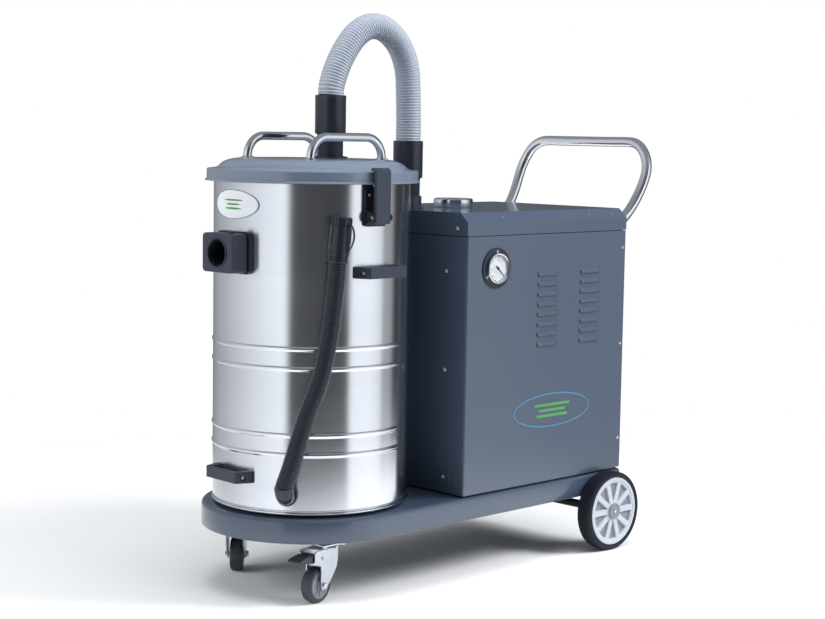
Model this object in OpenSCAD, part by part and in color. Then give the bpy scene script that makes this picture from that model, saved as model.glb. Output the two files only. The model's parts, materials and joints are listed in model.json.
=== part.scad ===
// Wheeled industrial wet and dry vacuum cleaner: steel drum and blower cabinet on one trolley.
// Millimetres. +Z is up, -Y is the front, +X is the right-hand side. The floor is z = 0.

/* [Drum] */
// Outside diameter of the steel drum
drum_d = 440; // [400:5:450]
// Distance of the drum axis from the middle of the machine, towards the front
drum_y = -347; // [-360:1:-340]
// Height of the drum's foot above the floor
drum_z0 = 194; // [192:1:200]
// Height of the drum's open top edge
drum_z1 = 925; // [900:1:925]
// Thickness of the drum's steel sheet
drum_wall = 2; // [1.5:0.5:3]
// Outside diameter of the drain hose
drain_hose_d = 40; // [32:1:42]

/* [Lid] */
// Outside diameter of the lid's rim band
lid_d = 472; // [470:1:474]
// Height of the lid's flat top
lid_top = 959; // [955:1:965]
// Distance of each lid handle from the middle
lid_handle_x = 107; // [95:1:120]
// Outside diameter of the lid handles' tube
lid_handle_d = 19; // [16:1:22]

/* [Suction hose] */
// Outside diameter of the suction hose
suction_hose_d = 59; // [50:1:60]
// Diameter of the cuffs' narrow nose
cuff_nose_d = 58; // [50:1:60]
// Diameter of the cuffs' wide collar
cuff_collar_d = 70; // [66:1:74]

/* [Cabinet] */
// Width of the blower cabinet
cabinet_w = 473; // [460:1:476]
// Length of the blower cabinet
cabinet_l = 569; // [550:1:570]
// Height of the cabinet's top above the floor
cabinet_top = 841; // [835:1:845]
// Height of the cover's lower edge
cover_z0 = 788.5; // [780:0.5:795]
// Thickness of the cabinet's sheet metal
sheet = 2; // [1.5:0.5:3]
// Outside diameter of the exhaust outlet
exhaust_d = 95; // [80:1:100]
// Diameter of the vacuum gauge's flange
gauge_flange_d = 94; // [80:1:100]

/* [Trolley] */
// Half the width of the platform at the drum
platform_r = 242; // [240:1:244]
// Height of the platform's skirt
platform_h = 51; // [45:1:52]
// Diameter of the rear wheels
wheel_d = 194; // [190:1:198]
// Diameter of the caster wheels
caster_d = 78; // [75:1:80]
// Outside diameter of the push handle's tube
push_handle_d = 25; // [22:1:28]

/* [Hidden] */
$fn = 72;

// Clearances: a running fit's radial gap, and the gap between curved faces of neighbours
running = 0.05;
gap = 0.3;
seat = 0.1;

drum_r = drum_d / 2;
lid_r = lid_d / 2;
cabinet_x = cabinet_w / 2;
cabinet_y0 = -89;
cabinet_y1 = cabinet_y0 + cabinet_l;
base_top = 196;
slope_run = 24.5;
slope_rise = 21.5;
platform_top = 189;
platform_z0 = platform_top - platform_h;
platform_y1 = 488;
platform_corner = 14;
platform_sheet = 4;

// Rear wheels, whose inner faces clear the platform's sides
wheel_r = wheel_d / 2;
wheel_y = 408;
wheel_x0 = 240;
wheel_w = 42;
rim_r = 84;
axle_r = 10;
spokes = 10;

// Casters: swivel places, the way that each trails at rest, and their heights
caster_r = caster_d / 2;
caster_right = [152, -438];
caster_left = [-152, -438];
caster_right_turn = -78;
caster_left_turn = 135;
caster_trail = 28;
caster_plate_z = 128;
caster_plate_t = 4;
caster_pin_r = 4;
pedal_pin = [32, 0, 100];
pedal_pin_r = 3;
kingpin_r = 6;

// Ports: the drum's port in the lid, and the cabinet's port
lid_port_y = -296;
cabinet_port_y = -50;
port_r = cuff_nose_d / 2 + gap;
cuff_shoulder = 1014;
cuff_top = 1100;
cuff_drop = 100;

// The lid's rim band
lid_rim_z0 = 908;
lid_rim_top = 935;

// Fittings on the drum
inlet_z = 757;
inlet_y0 = -619.5;
inlet_bore_r = 29;
latch_pin = [246, 838];
latch_pin_r = 3;
latch_half_w = 20;
latch_turn = -4.7;
carry_z = 720;
tipping_z = 272;
tipping_turn = -92.5;
bead_heights = [326.4, 368.7, 512.9, 555.9];

// Drain fittings: the cuff's foot, its tilt, and the elbow's socket on the drum
drain_foot = [219, -467.5, 749];
drain_tilt = [-3.7, 2.2, 0];
drain_socket_turn = -54;
drain_socket_z = 240;

// Gauge, exhaust and louvres on the cabinet
gauge_y = 7;
gauge_z = 713;
exhaust_y = 106;
louvre_columns = [188, 343];
louvre_z0 = 527;
louvre_pitch = 23.8;
louvre_rows = 8;
louvre_w = 76;

// Switch box with its knob's pin, and the mains lead's gland, on the rear panel
switch_x = 110;
switch_z = 690;
knob_dz = 16;
knob_pin_r = 5;
gland_x = -120;
gland_z = 250;

// Blower inside the cabinet
blower_z = 380;
blower_y = 70;
blower_r = 150;
blower_foot = 170;
impeller_r = 118;

steel = [0.72, 0.72, 0.74];
paint = [0.29, 0.35, 0.43];
lid_paint = [0.43, 0.49, 0.58];
black = [0.07, 0.07, 0.09];
slate = [0.16, 0.19, 0.24];
grey = [0.62, 0.64, 0.66];
white = [0.92, 0.92, 0.9];

// Route of the suction hose, from the lid's cuff over to the cabinet's cuff
suction_route = [
    [0, -296, 1100], [0, -294, 1120], [0, -285, 1146], [0, -271, 1175], [0, -250, 1207],
    [0, -223, 1236], [0, -191, 1255], [0, -160, 1260], [0, -128, 1253], [0, -94, 1230],
    [0, -70, 1198], [0, -57, 1161], [0, -53, 1120], [0, -51, 1080], [0, -50, 1040],
    [0, -50, 1000]
];

// Route of the drain hose, from its elbow up to its cuff
drain_route = [
    [147, -549, 262], [152, -546, 280], [160, -539, 312], [168, -532, 350], [176, -524, 390],
    [184, -515, 427], [193, -506, 460], [201, -495, 501], [206, -488, 540], [210, -482, 580],
    [213, -478, 615], [215, -474, 655], [217, -470, 700], [218, -469, 725], [219, -467.5, 749]
];

// Route of the drain elbow, from inside its collar at the drum out to the hose
elbow_route = [
    [134, -531, 240], [139, -538, 242], [143.5, -544, 246.5], [146, -548, 253.5], [147, -549, 262]
];

// Half of the push handle's route, from the rear panel to the middle of its top bar
handle_half = [
    [200, 479, 801], [200, 499, 806], [201, 516, 818], [204, 537, 840], [208, 559, 872],
    [211, 576, 905], [210, 588, 934], [202, 596, 960], [186, 601, 984], [164, 605, 999],
    [138, 607, 1004], [70, 607, 1004]
];

// The flanges that hold the push handle: their thickness and their middle's height
flange_t = 4;
flange_z = 800;

// Routes of the pipes inside the cabinet
suction_pipe = [
    [0, -50, 828], [0, -50, 740], [-8, -40, 690], [-30, 0, 640], [-62, 50, 600], [-70, 70, 560],
    [-70, 70, 527]
];
exhaust_pipe = [
    [70, 70, 527], [70, 72, 580], [55, 85, 660], [20, 102, 740], [0, 106, 780], [0, 106, 824]
];

// Points of an arc of radius r about c, from angle a to angle b, in n steps
function arc(c, r, a, b, n) = [
    for (i = [0:n]) c + r * [cos(a + (b - a) * i / n), sin(a + (b - a) * i / n)]
];

function unit(v) = v / norm(v);
function tangent(route, i) = unit(
    route[min(i + 1, len(route) - 1)] - route[max(i - 1, 0)]
);
function across(v, t) = unit(v - (v * t) * t);

// One sideways direction for each point of a route, carried along it without twist
function carried(route, first, i = 0) = i == len(route) ? [] :
    let (side = across(first, tangent(route, i)))
    concat([side], carried(route, side, i + 1));

// A solid tube of diameter d swept along a route, whose sides start towards first
module tube(route, d, sides = 12, first = [1, 0, 0]) {
    last = len(route) - 1;
    side = carried(route, first);
    points = [
        for (i = [0:last])
            let (u = side[i], v = cross(tangent(route, i), u))
            for (k = [0:sides - 1]) route[i] + d / 2 * (u * cos(k * 360 / sides) + v * sin(k * 360 / sides))
    ];
    walls = [
        for (i = [0:last - 1], k = [0:sides - 1])
            let (a = i * sides + k, b = i * sides + (k + 1) % sides)
            for (face = [[a, a + sides, b], [b, a + sides, b + sides]]) face
    ];
    ends = [
        [for (k = [0:sides - 1]) k],
        [for (k = [sides - 1:-1:0]) last * sides + k]
    ];
    polyhedron(points, concat(walls, ends), convexity = 6);
}

// A hollow round wall from z0 to z1
module ring(outer, inner, z0, z1) {
    translate([0, 0, z0])
        difference() {
            cylinder(r = outer, h = z1 - z0);
            translate([0, 0, -1]) cylinder(r = inner, h = z1 - z0 + 2);
        }
}

// A cylinder along +X that starts at x0
module rod_x(r, x0, x1) {
    translate([x0, 0, 0]) rotate([0, 90, 0]) cylinder(r = r, h = x1 - x0);
}

// A cylinder along +Y that starts at y0
module rod_y(r, y0, y1) {
    translate([0, y0, 0]) rotate([-90, 0, 0]) cylinder(r = r, h = y1 - y0);
}

// A box from one corner to the other
module block(low, high) {
    translate(low) cube(high - low);
}

module at_drum() {
    translate([0, drum_y, 0]) children();
}

// The drum's outside, which whatever is fixed to it is cut back from
module drum_surface() {
    cylinder(r = drum_r + seat, h = 1000, $fn = 360);
}

module at_both_sides() {
    children();
    mirror([1, 0, 0]) children();
}

// The platform's outline: round at the front, with rounded corners at the rear
function platform_outline(inset) = let (
    r = platform_r - inset,
    c = platform_corner - inset,
    rear = platform_r - 5 - platform_corner
) concat(
    arc([0, drum_y - 3], r, 180, 360, 60),
    arc([rear, platform_y1 - platform_corner], c, 0, 90, 10),
    arc([-rear, platform_y1 - platform_corner], c, 90, 180, 10)
);

module platform() {
    edge = 8;
    steps = 4;
    color(paint) difference() {
        union() {
            translate([0, 0, platform_z0])
                linear_extrude(platform_h - edge) polygon(platform_outline(0));
            for (i = [0:steps - 1])
                translate([0, 0, platform_top - edge + i * edge / steps])
                    linear_extrude(edge / steps)
                        polygon(platform_outline(edge * (1 - cos(asin(i / steps)))));
        }
        translate([0, 0, platform_z0 - 1])
            linear_extrude(platform_h - platform_sheet + 1)
                polygon(platform_outline(platform_sheet));
    }
}

// Two rails and three cross bars under the platform, with pads for the casters
module chassis_frame() {
    rail_x = 150;
    rail_w = 40;
    z1 = platform_top - platform_sheet - seat;
    z0 = z1 - 40;
    bracket_x = 205;
    color(black) difference() {
        union() {
            for (s = [-1, 1]) {
                block([s * rail_x - rail_w / 2, -500, z0], [s * rail_x + rail_w / 2, 440, z1]);
                block([s * bracket_x - 5, wheel_y - 25, wheel_r - 22],
                    [s * bracket_x + 5, wheel_y + 25, z1]);
                block([s * 152 - 45, -478, caster_plate_z + caster_plate_t], [s * 152 + 45, -398, z0]);
            }
            for (y = [-300, 0, 300])
                block([-rail_x + rail_w / 2, y, z0], [rail_x - rail_w / 2, y + 40, z1]);
            for (s = [-1, 1])
                block([s * 185 - 25, wheel_y - 20, z1 - 6], [s * 185 + 25, wheel_y + 20, z1]);
        }
        translate([0, wheel_y, wheel_r]) rod_x(axle_r + seat, -260, 260);
    }
}

module rear_axle() {
    end_x = wheel_x0 + wheel_w - 1;
    color(steel) translate([0, wheel_y, wheel_r]) rod_x(axle_r, -end_x, end_x);
}

module axle_end_caps() {
    end_x = wheel_x0 + wheel_w - 1;
    color(grey) at_both_sides() translate([0, wheel_y, wheel_r]) difference() {
        rod_x(20, end_x - 1.5, end_x + 3);
        rod_x(axle_r + seat, end_x - 2, end_x + seat);
    }
}

// Zinc plates with the swivel's cup, one over each caster
module caster_plates() {
    color(steel) for (place = [caster_right, caster_left])
        translate([place[0], place[1], 0]) difference() {
            union() {
                block([-42, -36, caster_plate_z], [42, 36, caster_plate_z + caster_plate_t - seat]);
                translate([0, 0, caster_plate_z - 8]) cylinder(r = 24, h = 8);
            }
            translate([0, 0, caster_plate_z - 9]) cylinder(r = kingpin_r + running, h = 20);
        }
}

// A rubber ring that keeps the drum off the platform
module drum_seat() {
    color(black) at_drum() ring(208, 190, platform_top + seat, drum_z0 - seat);
}

module tyre() {
    shoulder = 8;
    color([0.12, 0.12, 0.14]) translate([0, wheel_y, wheel_r]) rotate([0, 90, 0])
        translate([0, 0, wheel_x0]) rotate_extrude($fn = 120) polygon(concat(
            [[rim_r + seat, 2], [wheel_r - shoulder, 0]],
            arc([wheel_r - shoulder, shoulder], shoulder, -80, -5, 5),
            arc([wheel_r - shoulder, wheel_w - shoulder], shoulder, 5, 80, 5),
            [[wheel_r - shoulder, wheel_w], [rim_r + seat, wheel_w - 2]]
        ));
}

module right_tyre() { tyre(); }
module left_tyre() { mirror([1, 0, 0]) tyre(); }

// A moulded rim: outer ring, thin web, ten spokes and the hub that turns on the axle
module rim() {
    color(white) translate([0, wheel_y, wheel_r]) difference() {
        union() {
            difference() {
                rod_x(rim_r, wheel_x0 + 2, wheel_x0 + wheel_w - 2);
                rod_x(72, wheel_x0, wheel_x0 + 12);
                rod_x(72, wheel_x0 + wheel_w - 12, wheel_x0 + wheel_w);
            }
            rod_x(21, wheel_x0 + 1, wheel_x0 + wheel_w - 3);
            for (i = [0:spokes - 1])
                rotate([i * 360 / spokes, 0, 0])
                    block([wheel_x0 + 4, -5, 18], [wheel_x0 + wheel_w - 4, 5, 74]);
        }
        rod_x(axle_r + running, wheel_x0 - 5, wheel_x0 + 40);
    }
}

module right_rim() { rim(); }
module left_rim() { mirror([1, 0, 0]) rim(); }

// A caster stands at its swivel's place, turned the way that it trails
module at_caster(place, turn) {
    translate([place[0], place[1], 0]) rotate([0, 0, turn]) children();
}

// The wheel's centre seen from the swivel
module at_caster_wheel() {
    translate([caster_trail, 0, caster_r]) children();
}

module caster_fork() {
    leg_y = 20;
    crown_z = caster_plate_z - 8 - gap;
    color(steel) difference() {
        union() {
            translate([0, 0, crown_z - 5]) cylinder(r = 27, h = 5);
            translate([0, 0, crown_z - 6]) cylinder(r = kingpin_r, h = 6 + 8 + caster_plate_t);
            for (s = [-1, 1]) translate([0, s * leg_y, 0]) rotate([90, 0, 0])
                translate([0, 0, -1.5]) linear_extrude(3) polygon([
                    [-24, crown_z], [-24, crown_z - 30], [-19, 72], [0, 48],
                    [caster_trail - 14, caster_r - 4], [caster_trail - 9, caster_r - 9],
                    [caster_trail + 5, caster_r - 9], [caster_trail + 8, caster_r + 2],
                    [caster_trail + 8, 84], [60, 91], [60, crown_z - 3], [54, crown_z]
                ]);
            block([-24, -leg_y, crown_z - 4], [30, leg_y, crown_z]);
            at_caster_wheel() rod_y(caster_pin_r, -leg_y - 6, leg_y + 6);
        }
        translate(pedal_pin) rod_y(pedal_pin_r + running, -leg_y - 5, leg_y + 5);
    }
}

module caster_wheel() {
    color([0.2, 0.2, 0.22]) at_caster_wheel() rotate([90, 0, 0]) difference() {
        translate([0, 0, -14]) rotate_extrude() polygon(concat(
            [[0, -2], [14, -2], [14, 2], [28, 2], [29, 0]],
            arc([caster_r - 6, 6], 6, -80, 0, 4),
            arc([caster_r - 6, 22], 6, 0, 80, 4),
            [[29, 28], [28, 26], [14, 26], [14, 30], [0, 30]]
        ));
        translate([0, 0, -40]) cylinder(r = caster_pin_r + running, h = 80);
    }
}

// The brake pedal turns on a pin between the fork's legs, above the wheel
module caster_pedal() {
    half_w = 17;
    color(black) {
        translate([0, half_w, 0]) rotate([90, 0, 0]) linear_extrude(2 * half_w) polygon([
            [27, 94], [27, 105], [38, 110], [62, 112], [84, 111], [106, 106], [108, 102],
            [96, 100], [70, 95], [46, 91]
        ]);
        translate(pedal_pin) rod_y(pedal_pin_r, -24, 24);
    }
}

module caster_right_fork() { at_caster(caster_right, caster_right_turn) caster_fork(); }
module caster_left_fork() { at_caster(caster_left, caster_left_turn) caster_fork(); }
module caster_right_wheel() { at_caster(caster_right, caster_right_turn) caster_wheel(); }
module caster_left_wheel() { at_caster(caster_left, caster_left_turn) caster_wheel(); }
module caster_right_pedal() { at_caster(caster_right, caster_right_turn) caster_pedal(); }
module caster_left_pedal() { at_caster(caster_left, caster_left_turn) caster_pedal(); }

// The cabinet's cross-section: flat top, chamfered shoulders and straight sides
function cover_section(inset) = [
    [-cabinet_x + inset, cover_z0], [-cabinet_x + inset, cabinet_top - slope_rise],
    [-cabinet_x + slope_run + inset / 2, cabinet_top - inset],
    [cabinet_x - slope_run - inset / 2, cabinet_top - inset],
    [cabinet_x - inset, cabinet_top - slope_rise], [cabinet_x - inset, cover_z0]
];

// Extrudes an outline in X and Z along +Y, from y0 to y1
module along_y(y0, y1) {
    translate([0, y1, 0]) rotate([90, 0, 0]) linear_extrude(y1 - y0) children();
}

module cabinet_base() {
    inset = 8;
    wall = 3;
    color(black) difference() {
        block([-cabinet_x + inset, cabinet_y0 + inset, platform_top + seat],
              [cabinet_x - inset, cabinet_y1 - inset, base_top + wall]);
        block([-cabinet_x + inset + wall, cabinet_y0 + inset + wall, base_top],
              [cabinet_x - inset - wall, cabinet_y1 - inset - wall, base_top + 2 * wall]);
    }
}

// A pressed louvre: a sloping hood that is open at the bottom
module louvre_hood(y, z) {
    translate([0, 0, z]) along_y(y - louvre_w / 2, y + louvre_w / 2)
        polygon([
            [cabinet_x - 0.5, 8], [cabinet_x + 4.5, -5],
            [cabinet_x + 3.2, -5], [cabinet_x - 1.5, 6.5]
        ]);
}

module each_louvre() {
    for (y = louvre_columns, i = [0:louvre_rows - 1]) {
        $louvre_y = y;
        $louvre_z = louvre_z0 + i * louvre_pitch;
        children();
    }
}

// A side panel, with returns that wrap round the front and rear corners
module cabinet_side(with_gauge) {
    wrap = 46;
    z1 = cover_z0 - 1.5;
    color(paint) {
        difference() {
            block([cabinet_x - wrap, cabinet_y0, drum_z0], [cabinet_x, cabinet_y1, z1]);
            block([0, cabinet_y0 + sheet, drum_z0 - 1], [cabinet_x - sheet, cabinet_y1 - sheet, z1 + 1]);
            each_louvre()
                block([cabinet_x - 5, $louvre_y - louvre_w / 2 + 1, $louvre_z - 5],
                      [cabinet_x + 5, $louvre_y + louvre_w / 2 - 1, $louvre_z + 5]);
            if (with_gauge)
                translate([0, gauge_y, gauge_z]) rod_x(34, cabinet_x - 10, cabinet_x + 10);
        }
        each_louvre() louvre_hood($louvre_y, $louvre_z);
    }
}

module cabinet_side_right() { cabinet_side(true); }
module cabinet_side_left() { mirror([1, 0, 0]) cabinet_side(false); }

module cabinet_front_panel() {
    color(paint) block([-190, cabinet_y0 + 0.5, drum_z0], [190, cabinet_y0 + sheet + 0.5, cover_z0 - 1.5]);
}

module cabinet_rear_panel() {
    color(paint) difference() {
        block([-190, cabinet_y1 - sheet - 0.5, drum_z0], [190, cabinet_y1 - 0.5, cover_z0 - 1.5]);
        translate([gland_x, 0, gland_z]) rod_y(10, cabinet_y1 - 10, cabinet_y1 + 10);
        translate([switch_x, 0, switch_z]) rod_y(12, cabinet_y1 - 10, cabinet_y1 + 10);
    }
}

// The top cover: a shallow box with a lip inside the panels
module cabinet_cover() {
    color(paint) difference() {
        along_y(cabinet_y0, cabinet_y1) polygon(cover_section(0));
        translate([0, 0, -1]) along_y(cabinet_y0 + sheet, cabinet_y1 - sheet) polygon(cover_section(sheet));
        translate([0, cabinet_port_y, cabinet_top - 10]) cylinder(r = port_r + 4 + gap, h = 20);
        translate([0, exhaust_y, cabinet_top - 10]) cylinder(r = exhaust_d / 2 - 5 + gap, h = 20);
    }
}

// Screws of the panels and of the cover, all alike
module cabinet_screws() {
    r = 4.5;
    proud = 2;
    color(steel) at_both_sides() {
        for (z = [270, 508, 746])
            translate([0, cabinet_y1 - 12, z]) rod_x(r, cabinet_x + seat, cabinet_x + proud);
        for (y = [40, 348, 435])
            translate([cabinet_x - slope_run / 2, y, cabinet_top - slope_rise / 2])
                rotate([0, atan2(slope_rise, slope_run), 0])
                translate([0, 0, seat]) cylinder(r = r, h = proud - seat);
        for (z = [230, 480, 707])
            translate([171, 0, z]) rod_y(r, cabinet_y0 - 1.6, cabinet_y0 + 0.4);
        translate([204, 0, 806]) rod_y(r, cabinet_y0 - proud, cabinet_y0 - seat);
    }
}

// The exhaust's polished ring, with a rolled lip and a protective cross inside
module exhaust_outlet() {
    r = exhaust_d / 2;
    color(steel) translate([0, exhaust_y, 0]) {
        ring(r - 5, r - 8, cabinet_top - 15, cabinet_top + 20);
        ring(r, r - 8, cabinet_top + seat, cabinet_top + 16);
        translate([0, 0, cabinet_top + 18]) rotate_extrude() translate([r - 4, 0]) circle(r = 4, $fn = 32);
    }
}

module suction_port() {
    color(black) translate([0, cabinet_port_y, 0]) {
        ring(port_r + 4, port_r, cabinet_top - 12, cabinet_top + 30);
        ring(port_r + 9, port_r + 3, cabinet_top + seat, cabinet_top + 5);
    }
}

// The push handle: one bent tube over to the other side, cut flat at its flanges
module push_handle() {
    other_half = [
        for (i = [len(handle_half) - 1:-1:0])
            [-handle_half[i][0], handle_half[i][1], handle_half[i][2]]
    ];
    color(steel) difference() {
        tube(concat(handle_half, other_half), push_handle_d, 14, [0, 0, 1]);
        block([-cabinet_x, cabinet_y1 - 20, cover_z0 - 20],
            [cabinet_x, cabinet_y1 + flange_t, cabinet_top]);
    }
}

module push_handle_flanges() {
    color(steel) at_both_sides() translate([handle_half[0][0], 0, flange_z]) {
        block([-22, cabinet_y1 + seat, -30], [22, cabinet_y1 + flange_t - seat, 30]);
        for (z = [-25, 25]) translate([0, 0, z]) rod_y(5, cabinet_y1 + 2, cabinet_y1 + flange_t + 4);
    }
}

// The vacuum gauge: flange, bezel, dial, case behind the panel and the needle's pin
module gauge_case() {
    flange_r = gauge_flange_d / 2;
    translate([0, gauge_y, gauge_z]) {
        color(black) difference() {
            union() {
                rod_x(flange_r, cabinet_x + seat, cabinet_x + 3);
                rod_x(33, cabinet_x - 30, cabinet_x + 1);
                rod_x(35.5, cabinet_x + 2, cabinet_x + 11);
            }
            rod_x(31.5, cabinet_x + 5, cabinet_x + 12);
        }
        color(steel) rod_x(1, cabinet_x + 4, cabinet_x + 7.5);
    }
}

module gauge_needle() {
    color(black) translate([0, gauge_y, gauge_z]) rotate([-42, 0, 0]) difference() {
        union() {
            rod_x(3, cabinet_x + 5.6, cabinet_x + 6.8);
            block([cabinet_x + 5.6, -8, -1.2], [cabinet_x + 6.6, 25, 1.2]);
        }
        rod_x(1 + running, cabinet_x + 4, cabinet_x + 8);
    }
}

module gauge_glass() {
    color(white) translate([0, gauge_y, gauge_z]) rod_x(31.4, cabinet_x + 8.2, cabinet_x + 10);
}

// Side-channel blower: a round cast housing on feet, hollow for its impeller
module blower_housing() {
    depth = 90;
    color(grey) translate([0, blower_y, blower_z]) {
        difference() {
            union() {
                rod_y(blower_r, -depth / 2, depth / 2);
                for (x = [-70, 70]) translate([x, 0, 0]) cylinder(r = 34, h = 145);
                for (x = [-1, 1]) block([x * 100 - 25, -40, -blower_foot], [x * 100 + 25, 40, -90]);
            }
            rod_y(impeller_r + 4, -depth / 2 + 12, depth / 2 - 8);
            rod_y(12.5, 0, depth);
        }
    }
}

// The impeller and its shaft, with radial blades
module blower_impeller() {
    color(steel) translate([0, blower_y, blower_z]) {
        difference() {
            rod_y(impeller_r, -20, 20);
            rod_y(impeller_r - 30, -21, -12);
            rod_y(impeller_r - 30, 12, 21);
        }
        for (i = [0:23]) rotate([0, i * 15, 0]) block([impeller_r - 32, -24, -1.5], [impeller_r, 24, 1.5]);
        rod_y(12, -26, 60);
    }
}

module blower_motor() {
    y0 = blower_y + 45 + seat;
    length = 230;
    color(grey) translate([0, 0, blower_z]) difference() {
        union() {
            rod_y(84, y0, y0 + length);
            rod_y(98, y0, y0 + 14);
            for (i = [0:35]) rotate([0, i * 10, 0]) block([80, y0 + 20, -1.5], [95, y0 + length - 50, 1.5]);
            block([-45, y0 + 50, 80], [45, y0 + 140, 130]);
        }
        rod_y(12 + running, y0 - 1, y0 + 40);
    }
}

// Rubber mounts between the blower's feet and the cabinet's base
module blower_mounts() {
    color(black) for (x = [-100, 100], y = [-26, 26])
        translate([x, blower_y + y, base_top + seat])
            cylinder(r = 12, h = blower_z - blower_foot - base_top - 2 * seat);
}

module blower_pipework() {
    color(black) {
        tube(suction_pipe, 56);
        tube(exhaust_pipe, 56);
    }
}

module switch_box() {
    color(black) translate([switch_x, 0, switch_z]) difference() {
        union() {
            block([-45, cabinet_y1 - 0.3, -60], [45, cabinet_y1 + 26, 60]);
            block([-30, cabinet_y1 + 26, -14], [30, cabinet_y1 + 28, 46]);
        }
        translate([0, 0, knob_dz]) rod_y(knob_pin_r + running, cabinet_y1 + 10, cabinet_y1 + 30);
    }
}

module switch_knob() {
    color(black) translate([switch_x, 0, switch_z + knob_dz]) {
        rod_y(knob_pin_r, cabinet_y1 + 12, cabinet_y1 + 30);
        rod_y(17, cabinet_y1 + 28 + gap, cabinet_y1 + 38);
        block([-4, cabinet_y1 + 36, -16], [4, cabinet_y1 + 48, 16]);
    }
}

// The mains lead's gland on the rear panel
module cable_gland() {
    color(black) translate([gland_x, 0, gland_z]) difference() {
        union() {
            rod_y(9.8, cabinet_y1 - 14, cabinet_y1 + 2);
            rod_y(14, cabinet_y1 - 0.4, cabinet_y1 + 10);
            rod_y(11, cabinet_y1 + 9, cabinet_y1 + 24);
        }
        rod_y(5, cabinet_y1 - 20, cabinet_y1 + 30);
    }
}

// The drum: a cylinder with four raised beads, a rolled foot, a bottom and a rolled top edge
module drum_shell() {
    floor_z = drum_z0 + 16;
    color(steel) at_drum() difference() {
        union() {
            ring(drum_r, drum_r - drum_wall, drum_z0 + 10, drum_z1);
            translate([0, 0, floor_z]) cylinder(r = drum_r - 1, h = 2);
            ring(drum_r - 1, drum_r - 7, drum_z0, drum_z0 + 17);
            translate([0, 0, drum_z0 + 4])
                rotate_extrude() translate([drum_r - 2, 0]) circle(r = 4, $fn = 32);
            for (z = bead_heights) translate([0, 0, z])
                rotate_extrude() translate([drum_r - 2.5, 0]) circle(r = 5, $fn = 32);
            translate([0, 0, drum_z1 - 3])
                rotate_extrude() translate([drum_r + 1, 0]) circle(r = 3, $fn = 32);
        }
        translate([0, 0, drum_z0 + 20]) cylinder(r = drum_r - drum_wall, h = drum_z1 - drum_z0);
        translate([0, 0, inlet_z]) rod_y(inlet_bore_r + gap, -drum_r - 30, 0);
        translate([0, 0, drain_socket_z]) rotate([0, 0, drain_socket_turn]) rod_x(18, 150, drum_r + 30);
    }
}

// A moulded handle on the drum's side: splayed feet and a straight grip
module side_handle() {
    difference() {
        translate([0, 0, -12.5]) linear_extrude(25) polygon([
            [205, -68], [216, -68], [250, -54], [250, 54], [216, 68], [205, 68],
            [205, 44], [240, 44], [240, -44], [205, -44]
        ]);
        translate([0, 0, -500]) drum_surface();
    }
}

module carry_handles() {
    color(slate) at_drum() for (turn = [0, 180])
        rotate([0, 0, turn]) translate([0, 0, carry_z]) side_handle();
}

module tipping_handle() {
    color(slate) at_drum() rotate([0, 0, tipping_turn]) translate([0, 0, tipping_z]) side_handle();
}

// A latch's base on the drum: a plate with two lugs and the lever's pin
module latch_base() {
    x = latch_pin[0];
    z = latch_pin[1];
    lug = latch_half_w + 2;
    color(black) difference() {
        union() {
            block([210, -lug - 6, 820], [226, lug + 6, 882]);
            for (s = [-1, 1]) {
                block([222, s * (lug + 2) - 2, z - 9], [x, s * (lug + 2) + 2, z + 9]);
                translate([x, s * (lug + 2), z]) rod_y(7, -2, 2);
            }
            translate([x, 0, z]) rod_y(latch_pin_r, -lug - 1, lug + 1);
        }
        drum_surface();
    }
}

module latch_bases() {
    color(black) at_drum() rotate([0, 0, latch_turn]) at_both_sides() latch_base();
}

// The lever: a channel that turns on the pin, with a hook over the lid's rim
module latch_lever() {
    x = latch_pin[0];
    z = latch_pin[1];
    hook_z = lid_rim_top + 1.6;
    color(slate) difference() {
        union() {
            along_y(-latch_half_w, latch_half_w) polygon([
                [lid_r - 3.5, hook_z], [lid_r - 3.5, hook_z + 5.5], [lid_r + 3, hook_z + 7],
                [252, hook_z + 3], [253, z + 10], [253, z - 8], [249, z - 14], [243, z - 14],
                [242, z], [242, hook_z]
            ]);
            translate([x, 0, z]) rod_y(7, -latch_half_w, latch_half_w);
        }
        translate([x, 0, z]) rod_y(latch_pin_r + running, -latch_half_w - 1, latch_half_w + 1);
    }
}

module latch_lever_right() { at_drum() rotate([0, 0, latch_turn]) latch_lever(); }
module latch_lever_left() { at_drum() rotate([0, 0, latch_turn]) mirror([1, 0, 0]) latch_lever(); }

// The tank inlet: a thick square block with a round socket for the hose
module inlet_block() {
    half_w = 51;
    half_h = 42;
    corner = 8;
    back_y = drum_y - drum_r + 14;
    color(black) translate([0, 0, inlet_z]) difference() {
        union() {
            along_y(inlet_y0 + 2, back_y) square([2 * half_w, 2 * half_h - 4], center = true);
            along_y(inlet_y0 + 2, back_y) square([2 * half_w - 6, 2 * half_h], center = true);
            rod_y(32, inlet_y0, inlet_y0 + 10);
            along_y(drum_y - drum_r - 6, back_y)
                square([2 * half_w + corner, 2 * half_h + corner], center = true);
        }
        translate([0, drum_y, -500]) drum_surface();
        rod_y(inlet_bore_r, inlet_y0 - 1, drum_y);
        block([18 - 0.5, inlet_y0 + 12 - 0.5, half_h - 14.5], [34 + 0.5, inlet_y0 + 24 + 0.5, half_h + 1]);
    }
}

// The release button on the inlet's top, in its pocket
module inlet_button() {
    color(slate) block([18, inlet_y0 + 12, inlet_z + 42 - 10], [34, inlet_y0 + 24, inlet_z + 42 + 5]);
}

module drain_elbow() {
    color(black) {
        difference() {
            at_drum() translate([0, 0, drain_socket_z]) rotate([0, 0, drain_socket_turn])
                rod_x(24, 212, drum_r + 9);
            at_drum() drum_surface();
        }
        tube(elbow_route, drain_hose_d + 2, 16, [0, 0, 1]);
    }
}

module drain_hose() {
    color(black) tube(drain_route, drain_hose_d, 10);
}

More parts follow.
